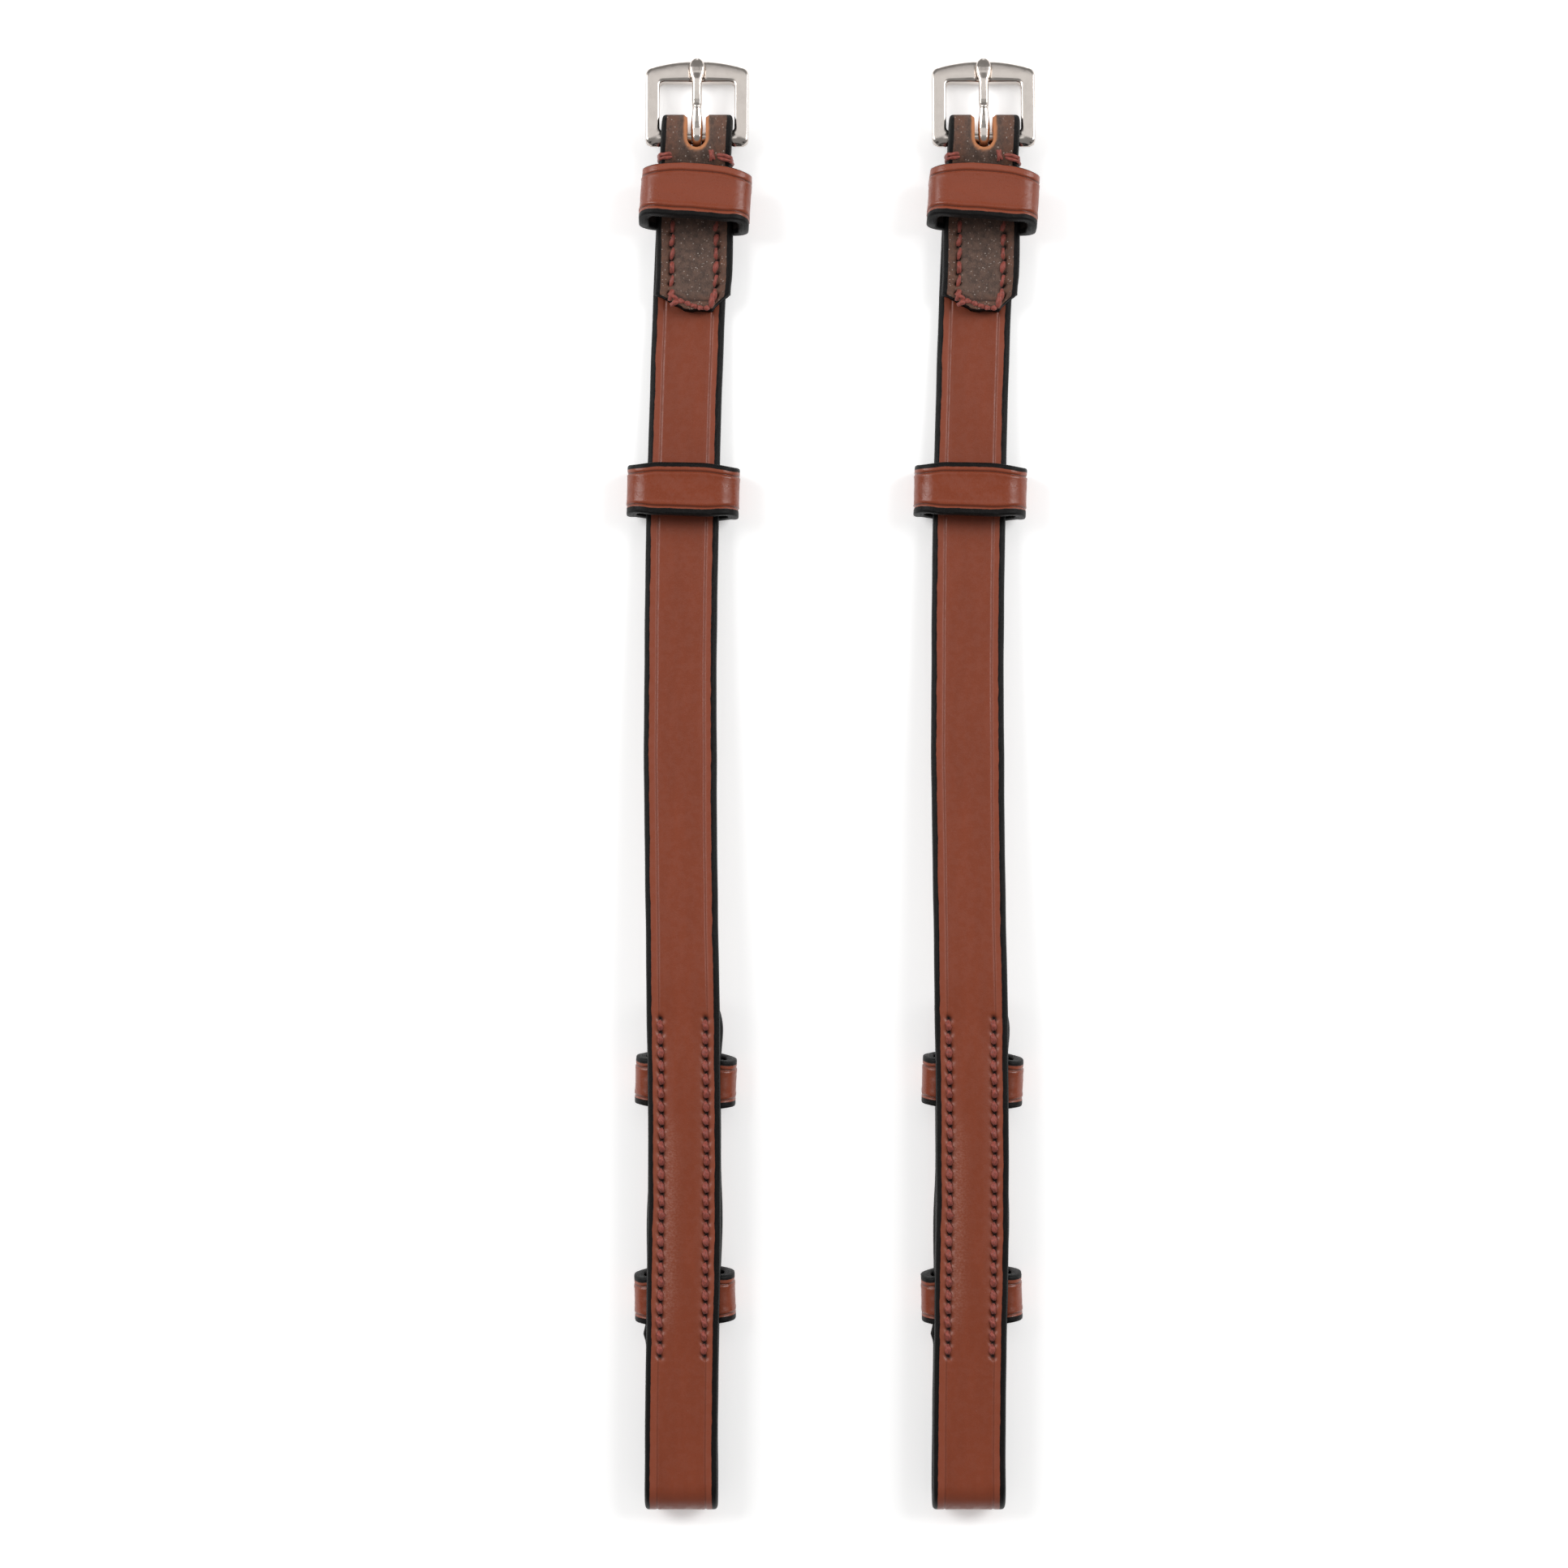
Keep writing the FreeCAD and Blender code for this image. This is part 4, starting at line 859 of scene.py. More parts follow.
def prism(name, outline, low, high):
    """An upright solid on an outline."""
    count = len(outline)
    vertices = [(x, y, z) for z in (low, high) for x, y in outline]
    faces = [tuple(range(count))[::-1], tuple(range(count, 2 * count))]
    for index in range(count):
        after = (index + 1) % count
        faces.append((index, after, count + after, count + index))
    mesh = bpy.data.meshes.new(name)
    mesh.from_pydata(vertices, [], faces)
    turn_outwards(mesh)
    return mesh


def turn_outwards(mesh):
    """Make every face of a closed mesh point outwards."""
    shape = bmesh.new()
    shape.from_mesh(mesh)
    bmesh.ops.recalc_face_normals(shape, faces=shape.faces)
    shape.to_mesh(mesh)
    shape.free()


def cut_away(mesh, cutter_mesh):
    """A mesh with another solid cut out of it."""
    work = bpy.data.objects.new("work", mesh)
    cutter = bpy.data.objects.new("cutter", cutter_mesh)
    for helper in (work, cutter):
        bpy.context.scene.collection.objects.link(helper)
    modifier = work.modifiers.new("cut", "BOOLEAN")
    modifier.operation, modifier.object, modifier.solver = "DIFFERENCE", cutter, "EXACT"
    result = bpy.data.meshes.new_from_object(work.evaluated_get(bpy.context.evaluated_depsgraph_get()))
    for helper in (work, cutter):
        bpy.data.objects.remove(helper)
    return result


def finish_slot(mesh, middle, end, radius):
    """Round over the slot's rim on the outer faces and mark its raw cut."""
    points = np.zeros(len(mesh.vertices) * 3)
    mesh.vertices.foreach_get("co", points)
    points = points.reshape(-1, 3)
    to_line = np.abs(points[:, 0] - middle)
    below = np.minimum(points[:, 1] - (end + radius), 0.0)
    gap = np.hypot(to_line, below) - radius
    near = (points[:, 1] > end - 2 * MM) & (gap < 0.9 * MM)
    uneven = 0.06 * MM * wobble(points[:, 1], 0.6 * MM, 4)
    raw = np.where(near, 1 - ease(gap + uneven, 0.4 * MM, 0.75 * MM), 0.0)
    old = read_attribute(mesh, "marks", 3)
    write_marks(mesh, old[:, 0], raw, old[:, 2])
    centre = Vector((0, BAR.y, BAR.z))
    sink = 0.45 * MM * np.where(near, 1 - ease(gap, 0.0, 0.7 * MM), 0.0)
    away = points - np.array([0, centre.y, centre.z])
    upper = (points[:, 1] < centre.y) & (points[:, 2] > centre.z + 2.2 * MM)
    bent = (points[:, 1] >= centre.y) & (np.hypot(away[:, 1], away[:, 2]) > 3.0 * MM)
    reach = np.maximum(np.hypot(away[:, 1], away[:, 2]), 1e-9)
    points[:, 2] -= np.where(upper, sink, 0.0) + np.where(bent, sink * away[:, 2] / reach, 0.0)
    points[:, 1] -= np.where(bent, sink * away[:, 1] / reach, 0.0)
    mesh.vertices.foreach_set("co", points.ravel())


def stud_centre():
    """Middle of the hook stud's plate, from the strap's line."""
    low, high = node_box("near_hook_stud")
    return Vector(((low.x + high.x) / 2 - LINE["near"], low.y + STUD_RADIUS, 0))


def finished_strap():
    """The strap with its tongue slot, stud hole and slit."""
    mesh = strap_mesh()
    turn_outwards(mesh)
    middle, end, radius = BAR.x - LINE["near"] - 0.05 * MM, 112.65 * MM, 1.65 * MM
    slot = slot_outline(middle, end, radius, BAR.y + 8 * MM)
    mesh = cut_away(mesh, prism("slot", slot, -1 * MM, 12 * MM))
    finish_slot(mesh, middle, end, radius)
    stud = stud_centre()
    hole = [(stud.x + 2.0 * MM * math.cos(angle), stud.y + 2.0 * MM * math.sin(angle))
            for angle in np.linspace(math.radians(99), math.radians(441), 22)]
    slit = [(stud.x + 0.3 * MM, stud.y + 9 * MM), (stud.x - 0.3 * MM, stud.y + 9 * MM)]
    mesh = cut_away(mesh, prism("stud_hole", hole + slit, 0.5 * MM, 4.92 * MM))
    smooth(mesh)
    return mesh


# ---- keepers and lining ----------------------------------------------------------------------------

KEEPER_LEATHER = 1.9 * MM
KEEPER_CREASE = 1.6 * MM
TAB_ALONG = -97.4 * MM


def keeper_mesh(name, line, width, thick, options):
    """A keeper bent from a short strip: narrower round its bends, creased near both edges.

    options holds the stations of its bends and how much they pinch it, its lean and turn in degrees, its
    skew, how far it sags, the extra dye on its upper and lower edge, its seed and its middle."""
    stops = spaced(line.total, 0.6 * MM, [])
    half = np.full(len(stops), width / 2)
    for bend in options["bends"]:
        half = half - options["pinch"] * bump(stops, bend, 2.6 * MM)
    half = half + 0.05 * MM * wobble(stops, 2.5 * MM, options["seed"])
    thicks = thick(stops, line.total)
    inner = np.array([0.55, 0.9, 1.15, 1.35, 1.5, 1.6, 1.7, 1.85, 2.05, 2.4, 2.9, 3.5, 4.1,
                      width / 2 / MM]) * MM
    outside = -math.copysign(1.0, line.steps[1][3])

    def relief(along, across, inward, face):
        grain = face * outside > 0
        groove = -0.24 * MM * bump(inward, KEEPER_CREASE, 0.16 * MM)
        groove = groove + 0.09 * MM * bump(inward, KEEPER_CREASE + 0.42 * MM, 0.22 * MM)
        wrinkle = np.zeros_like(along)
        for bend in options["bends"]:
            folds = 0.05 * MM * wobble(along + 0.4 * across, 0.35 * MM, 9)
            wrinkle = wrinkle + bump(along, bend, 2.2 * MM) * folds
        uneven = 0.04 * MM * wobble(across + 0.6 * along, 1.8 * MM, options["seed"] + 2)
        return np.where(grain, groove + wrinkle + uneven, 0.0)

    lean = Matrix.Rotation(math.radians(options["lean"]), 3, "X")
    turn = Matrix.Rotation(math.radians(options["turn"]), 3, "Z")
    rotation = np.array(turn @ lean)
    middle = np.array(options["middle"])

    def place(first, second, heading, across, up, along):
        x = first - np.sin(heading) * up
        z = second + np.cos(heading) * up
        y = -across - options["sag"] * ((first / (9 * MM)) ** 2 - 0.4) + 0 * x
        y = y - options["skew"] * (z - middle[2])
        local = np.stack([x, y, z - middle[2]], axis=-1)
        turned = local @ rotation.T
        return turned[..., 0] + middle[0], turned[..., 1] + middle[1], turned[..., 2] + middle[2]

    mesh = strip_mesh(name, line, stops, half, thicks, inner, 0.5 * MM, relief, place)
    side = outside * read_attribute(mesh, "side", 1)[:, 0]
    mesh.attributes["side"].data.foreach_set("value", side)
    to_foot = read_attribute(mesh, "strip", 3)[:, 0] > 0
    write_attribute(mesh, "dye", "FLOAT", np.where(to_foot, options["dye"][1], options["dye"][0]))
    write_marks(mesh, np.zeros_like(side), np.zeros_like(side))
    turn_outwards(mesh)
    smooth(mesh)
    return mesh


def band_line(start, half, foot, head, corner):
    """A band seen from its end: from under the strap out to the right, round, and back from the left."""
    line = StripLine(start, foot, 0.0)
    hand = math.copysign(1.0, head - foot)
    side = abs(head - foot) - 2 * corner
    turn = hand * math.pi / 2
    for distance in (half - corner - start, side, 2 * (half - corner), side):
        line.run(distance)
        line.mark(f"bend{len(line.marks)}")
        line.bend(corner, turn)
    line.run(half - corner - start)
    return line


def paring(thin, over):
    """A thickness that falls from the leather's to thin over the last stretch at both ends."""
    def thick(stops, total):
        end_distance = np.minimum(stops, total - stops)
        return thin + (KEEPER_LEATHER - thin) * ease(end_distance, over * 0.4, over)
    return thick


def fitted_keeper(node, width, start, foot, head, corner, thick, **options):
    """A keeper as wide as its CAD node, with its bends and its middle filled in."""
    low, high = node_box(f"near_{node}")
    line = band_line(start, (high.x - low.x - KEEPER_LEATHER) / 2, foot, head, corner)
    bends = [line.marks[f"bend{number}"] + corner * math.pi / 4 for number in range(4)]
    middle = ((low.x + high.x) / 2 - LINE["near"], (low.y + high.y) / 2 - options.get("back", 0.0),
              (low.z + high.z) / 2)
    settings = {"lean": 0.0, "skew": 0.0, "bends": bends, "middle": middle} | options
    return keeper_mesh(node, line, width, thick, settings)


def chape_keeper_mesh():
    """The keeper on the chape: it turns a little and leans back, so its lower edge stands up."""
    low, high = node_box("near_chape_keeper")
    return fitted_keeper(
        "chape_keeper", 10.1 * MM, 3.0 * MM, low.z + 0.4 * MM, high.z - KEEPER_LEATHER / 2, 2.3 * MM,
        paring(0.8 * MM, 5 * MM), pinch=0.4 * MM, lean=-13.0, turn=-4.0, dye=(-0.3, 0.1), sag=0.55 * MM,
        seed=4, back=1.35 * MM)


def runner_mesh():
    """The loose runner: its pared ends meet in a butt seam under the strap."""
    low, high = node_box("near_runner_keeper")
    axis = joint("near_runner_slide")["axis"]
    slope = math.atan2(-axis[2], axis[1])
    width = 9.5 * MM
    rise = width * math.sin(slope)
    return fitted_keeper(
        "runner_keeper", width, 0.06 * MM, low.z + rise / 2 + 0.65 * MM,
        high.z - rise / 2 - KEEPER_LEATHER / 2, 2.6 * MM, paring(1.3 * MM, 7 * MM), pinch=0.45 * MM,
        lean=-math.degrees(slope), turn=-1.6, dye=(0.3, 0.3), sag=0.15 * MM, seed=8)


def rear_keeper_mesh(node, lean, turn, seed):
    """A keeper round the billet, tucked between the lining and the strap. It leans by a skew."""
    low, high = node_box(f"near_{node}")
    return fitted_keeper(
        node, high.y - low.y, 3.0 * MM, high.z - 0.4 * MM, low.z + KEEPER_LEATHER / 2, 2.3 * MM,
        paring(0.8 * MM, 4 * MM), pinch=0.5 * MM, turn=turn, skew=math.tan(math.radians(lean)),
        dye=(0.3, 0.3), sag=0.15 * MM, seed=seed)


def lining_mesh():
    """The lining: a flat strip with dyed edges, its flesh side against the strap."""
    low, high = node_box("near_billet_lining")
    line = StripLine(high.y, (low.z + high.z) / 2, math.pi)
    line.run(high.y - low.y)
    stops = spaced(line.total, 1.3 * MM, [(0.0, 1 * MM, 0.2 * MM)])
    tab = 0.3 * MM * bump(high.y - stops, TAB_ALONG, 1.4 * MM)
    half = np.full(len(stops), 6.3 * MM) + 0.12 * MM * wobble(stops, 9 * MM, 6) + tab
    thick = np.full(len(stops), high.z - low.z)
    inner = np.array([0.6, 1.0, 1.8, 2.4, 3.2, 4.4, 6.3]) * MM

    def relief(along, across, inward, face):
        return np.zeros_like(across)

    def place(first, second, heading, across, up, along):
        to_left = 0.3 * MM * bump(first, TAB_ALONG, 1.4 * MM)
        return bow(first) - 0.15 * MM - to_left + across, first, second - up

    mesh = strip_mesh("billet_lining", line, stops, half, thick, inner, 0.6 * MM, relief, place)
    count = len(mesh.vertices)
    write_marks(mesh, np.zeros(count), np.zeros(count))
    turn_outwards(mesh)
    smooth(mesh)
    return mesh


# ---- thread ----------------------------------------------------------------------------------------

UP, DOWN = (0, 0, 1), (0, 0, -1)
PLY_BULGE = 0.15


def stitch_rings(start, end, up, radius, sag, seed):
    """Rings of one two-ply stitch from hole to hole: its ends dive, its middle stands up."""
    steps, around = 15, 16
    start, end, up = Vector(start), Vector(end), Vector(up)
    ahead = (end - start).normalized()
    across = ahead.cross(up).normalized()
    rings = []
    for step in range(steps):
        share = step / (steps - 1)
        lift = math.sin(math.pi * share) ** 0.6
        centre = start.lerp(end, share) + up * (sag * (lift - 1))
        size = radius * (0.45 + 0.55 * math.sin(math.pi * min(max(share, 0.06), 0.94)) ** 0.45)
        ring = []
        for spot in range(around):
            angle = 2 * math.pi * spot / around
            ply = 1 + PLY_BULGE * math.cos(2 * (angle - 3.4 * share - seed))
            ring.append(centre + (across * math.cos(angle) + up * math.sin(angle) * 0.92) * (size * ply))
        rings.append(ring)
    return rings


class ThreadWork:
    """Stitches gathered into one mesh."""

    def __init__(self):
        self.vertices, self.faces, self.strip = [], [], []

    def stitch(self, start, end, up, radius, sag=0.55 * MM, seed=0.0):
        """Add one stitch."""
        rings = stitch_rings(start, end, up, radius, sag, seed)
        around = len(rings[0])
        base = len(self.vertices)
        for number, ring in enumerate(rings):
            for spot, point in enumerate(ring):
                self.vertices.append(point)
                self.strip.append((spot / around + seed, (number / 5 + seed * 7), spot / around * 2))
        for number in range(len(rings) - 1):
            for spot in range(around):
                here, beside = base + number * around + spot, base + number * around + (spot + 1) % around
                self.faces.append((here, beside, beside + around, here + around))
        self.faces.append(tuple(base + spot for spot in range(around))[::-1])
        last = base + (len(rings) - 1) * around
        self.faces.append(tuple(last + spot for spot in range(around)))

    def mesh(self, name):
        """The finished mesh."""
        made = bpy.data.meshes.new(name)
        made.from_pydata([tuple(point) for point in self.vertices], [], self.faces)
        write_attribute(made, "strip", "FLOAT_VECTOR", np.array(self.strip))
        turn_outwards(made)
        smooth(made)
        return made


def lower_row_mesh(hand):
    """One of the two rows on the lower end: slanted stitches on the strap and flat ones on the lining."""
    thread = bpy.context.scene.tack_thread
    sizes = bpy.context.scene.tack_strap
    work = ThreadWork()
    offset = hand * (sizes.half - thread.inset)
    holes = lower_holes()
    face = STRAP_HIGH.z - 0.1 * MM
    under = node_box("near_billet_lining")[0].z + 0.12 * MM
    for number, (above, below) in enumerate(zip(holes, holes[1:])):
        slant = (0.22 + 0.07 * math.sin(2.3 * number)) * MM
        drift = (-0.12 + 0.06 * math.sin(5.1 * number + hand)) * MM
        x = float(bow((above + below) / 2)) + offset + drift
        size = thread.radius * (1 + 0.06 * math.sin(3.7 * number))
        work.stitch((x - slant, above - 0.26 * MM, face), (x + slant, below + 0.26 * MM, face), UP, size,
                    seed=0.7 * number)
        work.stitch((x, above, under), (x, below, under), DOWN, size * 0.8, sag=0.4 * MM, seed=0.4 * number)
    return work.mesh("lower_row")


def chape_face(along):
    """Height of the chape's upper face at a Y."""
    line = strap_line()
    first, second, _ = line.at(np.linspace(0, line.marks["fold"], 200))
    return float(np.interp(along, first, second)) + bpy.context.scene.tack_strap.leather / 2


def chape_middle(along):
    """X of the chape's middle at a Y."""
    return float(bow(along)) + CHAPE_DRIFT * float(ease(BAR.y - along, 2 * MM, 26 * MM))


def chape_thread_mesh():
    """The chape's stitches: two rows, one along the cut end, and the wraps beside the buckle."""
    thread = bpy.context.scene.tack_thread
    work = ThreadWork()
    face = chape_face(92 * MM) + 0.02 * MM
    for hand in (-1, 1):
        for number, (above, below) in enumerate(zip(FLAP_HOLES, FLAP_HOLES[1:])):
            x = chape_middle((above + below) / 2) + (hand * 3.85 - 0.05) * MM
            slant = (0.2 + 0.16 * math.sin(1.9 * number + hand)) * MM
            work.stitch((x + slant, above - 0.12 * MM, face), (x - slant, below + 0.12 * MM, face), UP,
                        thread.radius * (0.72 + 0.1 * math.sin(2.7 * number)), seed=1.3 * number + hand)
            work.stitch((x, above, 0.3 * MM), (x, below, 0.3 * MM), DOWN, thread.radius * 0.5,
                        sag=0.2 * MM, seed=number)
    # The thread along the end, the strand at its left corner and the long last stitch on the right.
    trail = [(-2.63, 87.0), (-0.95, 85.75), (0.2, 85.3), (1.35, 84.9), (2.5, 84.45), (3.6, 84.25),
             (4.7, 84.35)]
    for number, (begin, finish) in enumerate(zip(trail, trail[1:])):
        work.stitch(lifted(begin, face), lifted(finish, face), UP, thread.radius * 0.8, sag=0.25 * MM,
                    seed=2.1 * number)
    work.stitch(lifted((-2.3, 84.8), face - 0.1 * MM), lifted((-0.8, 85.6), face), UP,
                thread.radius * 0.85, sag=0.25 * MM, seed=0.5)
    work.stitch(lifted((5.2, 87.0), face), lifted((4.95, 84.3), face), UP, thread.radius * 0.9,
                sag=0.4 * MM, seed=4.0)
    wrap_thread(work)
    return work.mesh("chape_thread")


def lifted(point, height):
    """A point given in millimetres from a strap's line, at a height in metres."""
    return point[0] * MM, point[1] * MM, height


def wrap_thread(work):
    """The thread over the chape's edges just above the keeper, with a small cross on the right."""
    radius = bpy.context.scene.tack_thread.radius
    strands = [(-1, (-1.9, 111.5), (-4.05, 111.3)), (-1, (-1.8, 111.0), (-4.05, 110.6)),
               (1, (5.9, 111.4), (8.4, 110.8)), (1, (6.0, 110.9), (8.5, 110.1))]
    for number, (hand, inner, outer) in enumerate(strands):
        top = chape_face(inner[1] * MM) + 0.1 * MM
        work.stitch(lifted(inner, top), lifted(outer, top - 0.15 * MM), UP, radius * 0.68, sag=0.3 * MM,
                    seed=1.7 * number)
        work.stitch(lifted((outer[0] + hand * 0.15, outer[1]), top - 0.2 * MM),
                    lifted((outer[0] + hand * 0.1, outer[1] - 0.4), 2.2 * MM), (hand, 0, 0), radius * 0.8,
                    sag=0.25 * MM, seed=number)
    for begin, finish in (((4.5, 112.3), (5.6, 110.4)), ((5.2, 112.5), (4.9, 110.1))):
        top = chape_face(111.3 * MM) + 0.12 * MM
        work.stitch(lifted(begin, top + 0.15 * MM), lifted(finish, top - 0.15 * MM), UP, radius * 0.65,
                    sag=0.25 * MM, seed=begin[0])


# ---- buckle and stud -------------------------------------------------------------------------------

def loop_mesh(name, rings, close=True):
    """Skin a list of rings, closed on itself or capped."""
    count = len(rings[0])
    vertices = np.array([point for ring in rings for point in ring], float)
    faces = []
    total = len(rings)
    for number in range(total if close else total - 1):
        here, after = number * count, ((number + 1) % total) * count
        faces += [(here + spot, here + (spot + 1) % count, after + (spot + 1) % count, after + spot)
                  for spot in range(count)]
    if not close:
        vertices, caps = capped(vertices, [list(range(count))[::-1],
                                           [(total - 1) * count + spot for spot in range(count)]])
        faces += caps
    mesh = bpy.data.meshes.new(name)
    mesh.from_pydata(vertices.tolist(), [], faces)
    turn_outwards(mesh)
    return mesh


def superring(half_width, half_height, power, spots=28):
    """Points of a rounded box section, as (across, up)."""
    angles = np.linspace(0, 2 * math.pi, spots, endpoint=False)
    cosines, sines = np.cos(angles), np.sin(angles)
    return np.stack([half_width * np.sign(cosines) * np.abs(cosines) ** (2 / power),
                     half_height * np.sign(sines) * np.abs(sines) ** (2 / power)], axis=-1)


def rounded_loop(corners, samples):
    """Points evenly placed round a loop of (corner, radius) with tangent arcs."""
    points = []
    total = len(corners)
    for index in range(total):
        corner, before, after = [Vector(corners[at % total][0]) for at in (index, index - 1, index + 1)]
        radius = corners[index][1]
        backward, forward = (before - corner).normalized(), (after - corner).normalized()
        half_angle = backward.angle(forward) / 2
        reach = radius / math.tan(half_angle)
        centre = corner + (backward + forward).normalized() * (radius / math.sin(half_angle))
        begin, end = corner + backward * reach, corner + forward * reach
        for step in range(9):
            share = step / 8
            spoke = (begin - centre).lerp(end - centre, share).normalized() * radius
            points.append(centre + spoke)
    points = np.array([tuple(point) for point in points])
    closed = np.vstack([points, points[:1]])
    lengths = np.concatenate([[0], np.cumsum(np.hypot(*np.diff(closed, axis=0).T))])
    spots = np.linspace(0, lengths[-1], samples, endpoint=False)
    return np.stack([np.interp(spots, lengths, closed[:, axis]) for axis in (0, 1)], axis=-1)


def frame_mesh():
    """The buckle's frame about its bar: flat front, rounded edges, arched crown, round bar."""
    metal = bpy.context.scene.tack_metal
    foot = 1.64 * MM
    rows = 240
    inner = [((hand * metal.window, height), radius)
             for height, radius, hands in ((1.1 * MM, 0.7 * MM, (-1, 1)), (metal.inner, 0.9 * MM, (1, -1)))
             for hand in hands]
    inner_loop = rounded_loop(inner, rows)
    middle = np.array([0.0, metal.inner * 0.52])
    rings = []
    for point in inner_loop:
        out = outward_point(point, middle, foot)
        across = out - point
        width = np.hypot(*across)
        direction = across / width
        low_enough = float(ease(-point[1], -2.2 * MM, -1.2 * MM))
        on_bar = low_enough * float(1 - ease(abs(point[0]), 5.2 * MM, 6.4 * MM))
        power = 5.2 - 3.2 * on_bar
        section = superring(width / 2, metal.thick / 2 - 0.05 * MM * on_bar, power)
        centre = (out + point) / 2
        ring = []
        for offset, up in section:
            spot = centre + direction * offset
            ring.append((spot[0], spot[1], up - tongue_seat(spot, up)))
        rings.append(ring)
    mesh = loop_mesh("buckle_frame", rings)
    smooth(mesh)
    return mesh


def outward_point(point, middle, foot):
    """Where a ray from the window's middle through a point of its edge leaves the frame."""
    direction = (point - middle) / np.hypot(*(point - middle))
    low, high = 0.0, 30 * MM
    for _ in range(34):
        reach = (low + high) / 2
        spot = middle + direction * reach
        if inside_frame(spot, foot):
            low = reach
        else:
            high = reach
    return middle + direction * low


def inside_frame(spot, foot):
    """True inside the frame's outline: straight arms, arched crown, rounded corners, waisted foot."""
    metal = bpy.context.scene.tack_metal
    x, y = abs(spot[0]), spot[1]
    corner = 1.3 * MM
    arch_middle = metal.crown - metal.arch
    if x > metal.half or math.hypot(x, y - arch_middle) > metal.arch:
        return False
    bottom = -1.15 * MM - (foot - 1.15 * MM) * float(ease(x, 5.6 * MM, 6.9 * MM))
    if y < bottom:
        return False
    shoulder_y = arch_middle + math.sqrt((metal.arch - corner) ** 2 - (metal.half - corner) ** 2)
    if x > metal.half - corner and y > shoulder_y:
        return math.hypot(x - metal.half + corner, y - shoulder_y) <= corner
    if x > metal.half - corner and y < -foot + corner:
        return math.hypot(x - metal.half + corner, y + foot - corner) <= corner
    return True


def tongue_seat(spot, up):
    """Depth of the oval seat in the crown's front under the tongue."""
    if up <= 0 or spot[1] < 8 * MM:
        return 0.0
    return 0.5 * MM * float(bump(spot[0], 0.0, 1.35 * MM) ** 1.5)


# The tongue by distance from the top of the bar: half width, half thickness and lift, in millimetres.
TONGUE = np.array([
    (-5.79, 0.55, 0.20, 0.0), (-5.0, 0.80, 0.34, 0.0), (-3.5, 0.84, 0.36, 0.0), (-2.4, 0.78, 0.38, 0.0),
    (-1.2, 0.86, 0.40, 0.0), (0.0, 1.0, 0.42, 0.02), (1.2, 1.07, 0.48, 0.04), (2.4, 1.0, 0.62, 0.08),
    (3.4, 0.90, 0.70, 0.12), (4.4, 0.80, 0.80, 0.18), (5.0, 0.77, 0.84, 0.22), (5.25, 0.80, 0.86, 0.24),
    (5.6, 0.86, 0.78, 0.22), (6.5, 0.88, 0.74, 0.20), (8.0, 0.85, 0.72, 0.20), (9.3, 0.84, 0.70, 0.22),
    (10.3, 0.92, 0.68, 0.24), (11.0, 1.10, 0.66, 0.26), (11.8, 1.26, 0.64, 0.28), (12.6, 1.34, 0.60, 0.28),
    (13.2, 1.29, 0.55, 0.24), (13.7, 1.10, 0.46, 0.18), (14.05, 0.84, 0.34, 0.12), (14.28, 0.50, 0.20, 0.09),
    (14.36, 0.20, 0.08, 0.08)])


def tongue_mesh():
    """The tongue about the bar: rolled round it, waisted, and ending in a leaf with a flat facet."""
    eye = 1.62 * MM
    line = StripLine(0.7 * MM, -eye, math.pi)
    line.run(0.7 * MM)
    line.bend(eye, -math.pi)
    wrap = line.total
    line.run(TONGUE[-1, 0] * MM)
    rings = []
    for along in np.linspace(0, line.total, 170):
        first, second, heading = [float(value[0]) for value in line.at([along])]
        station = (along - wrap) / MM
        half, tall, rise = [float(np.interp(station, TONGUE[:, 0], column)) for column in TONGUE.T[1:]]
        leaf = float(ease(station, 10.2, 11.6))
        peak = float(bump(station, 5.1, 0.28))
        ring = []
        for across, up in superring(half, tall, 2.3, 26):
            ridge = 0.13 * peak * max(0.0, 1 - abs(across) / half) * (up > 0)
            facet = -0.2 * leaf * (up > 0) * max(0.0, 1 - (abs(across) / (half * 0.62)) ** 2)
            height = (up + rise + ridge + facet) * MM
            ring.append((across * MM, first - math.sin(heading) * height,
                         second + math.cos(heading) * height))
        rings.append(ring)
    mesh = loop_mesh("buckle_tongue", rings, close=False)
    smooth(mesh)
    return mesh


def joined(name, meshes):
    """Several closed meshes as one."""
    vertices, faces = [], []
    for mesh in meshes:
        base = len(vertices)
        vertices += [tuple(vertex.co) for vertex in mesh.vertices]
        faces += [tuple(base + index for index in face.vertices) for face in mesh.polygons]
    made = bpy.data.meshes.new(name)
    made.from_pydata(vertices, [], faces)
    return made


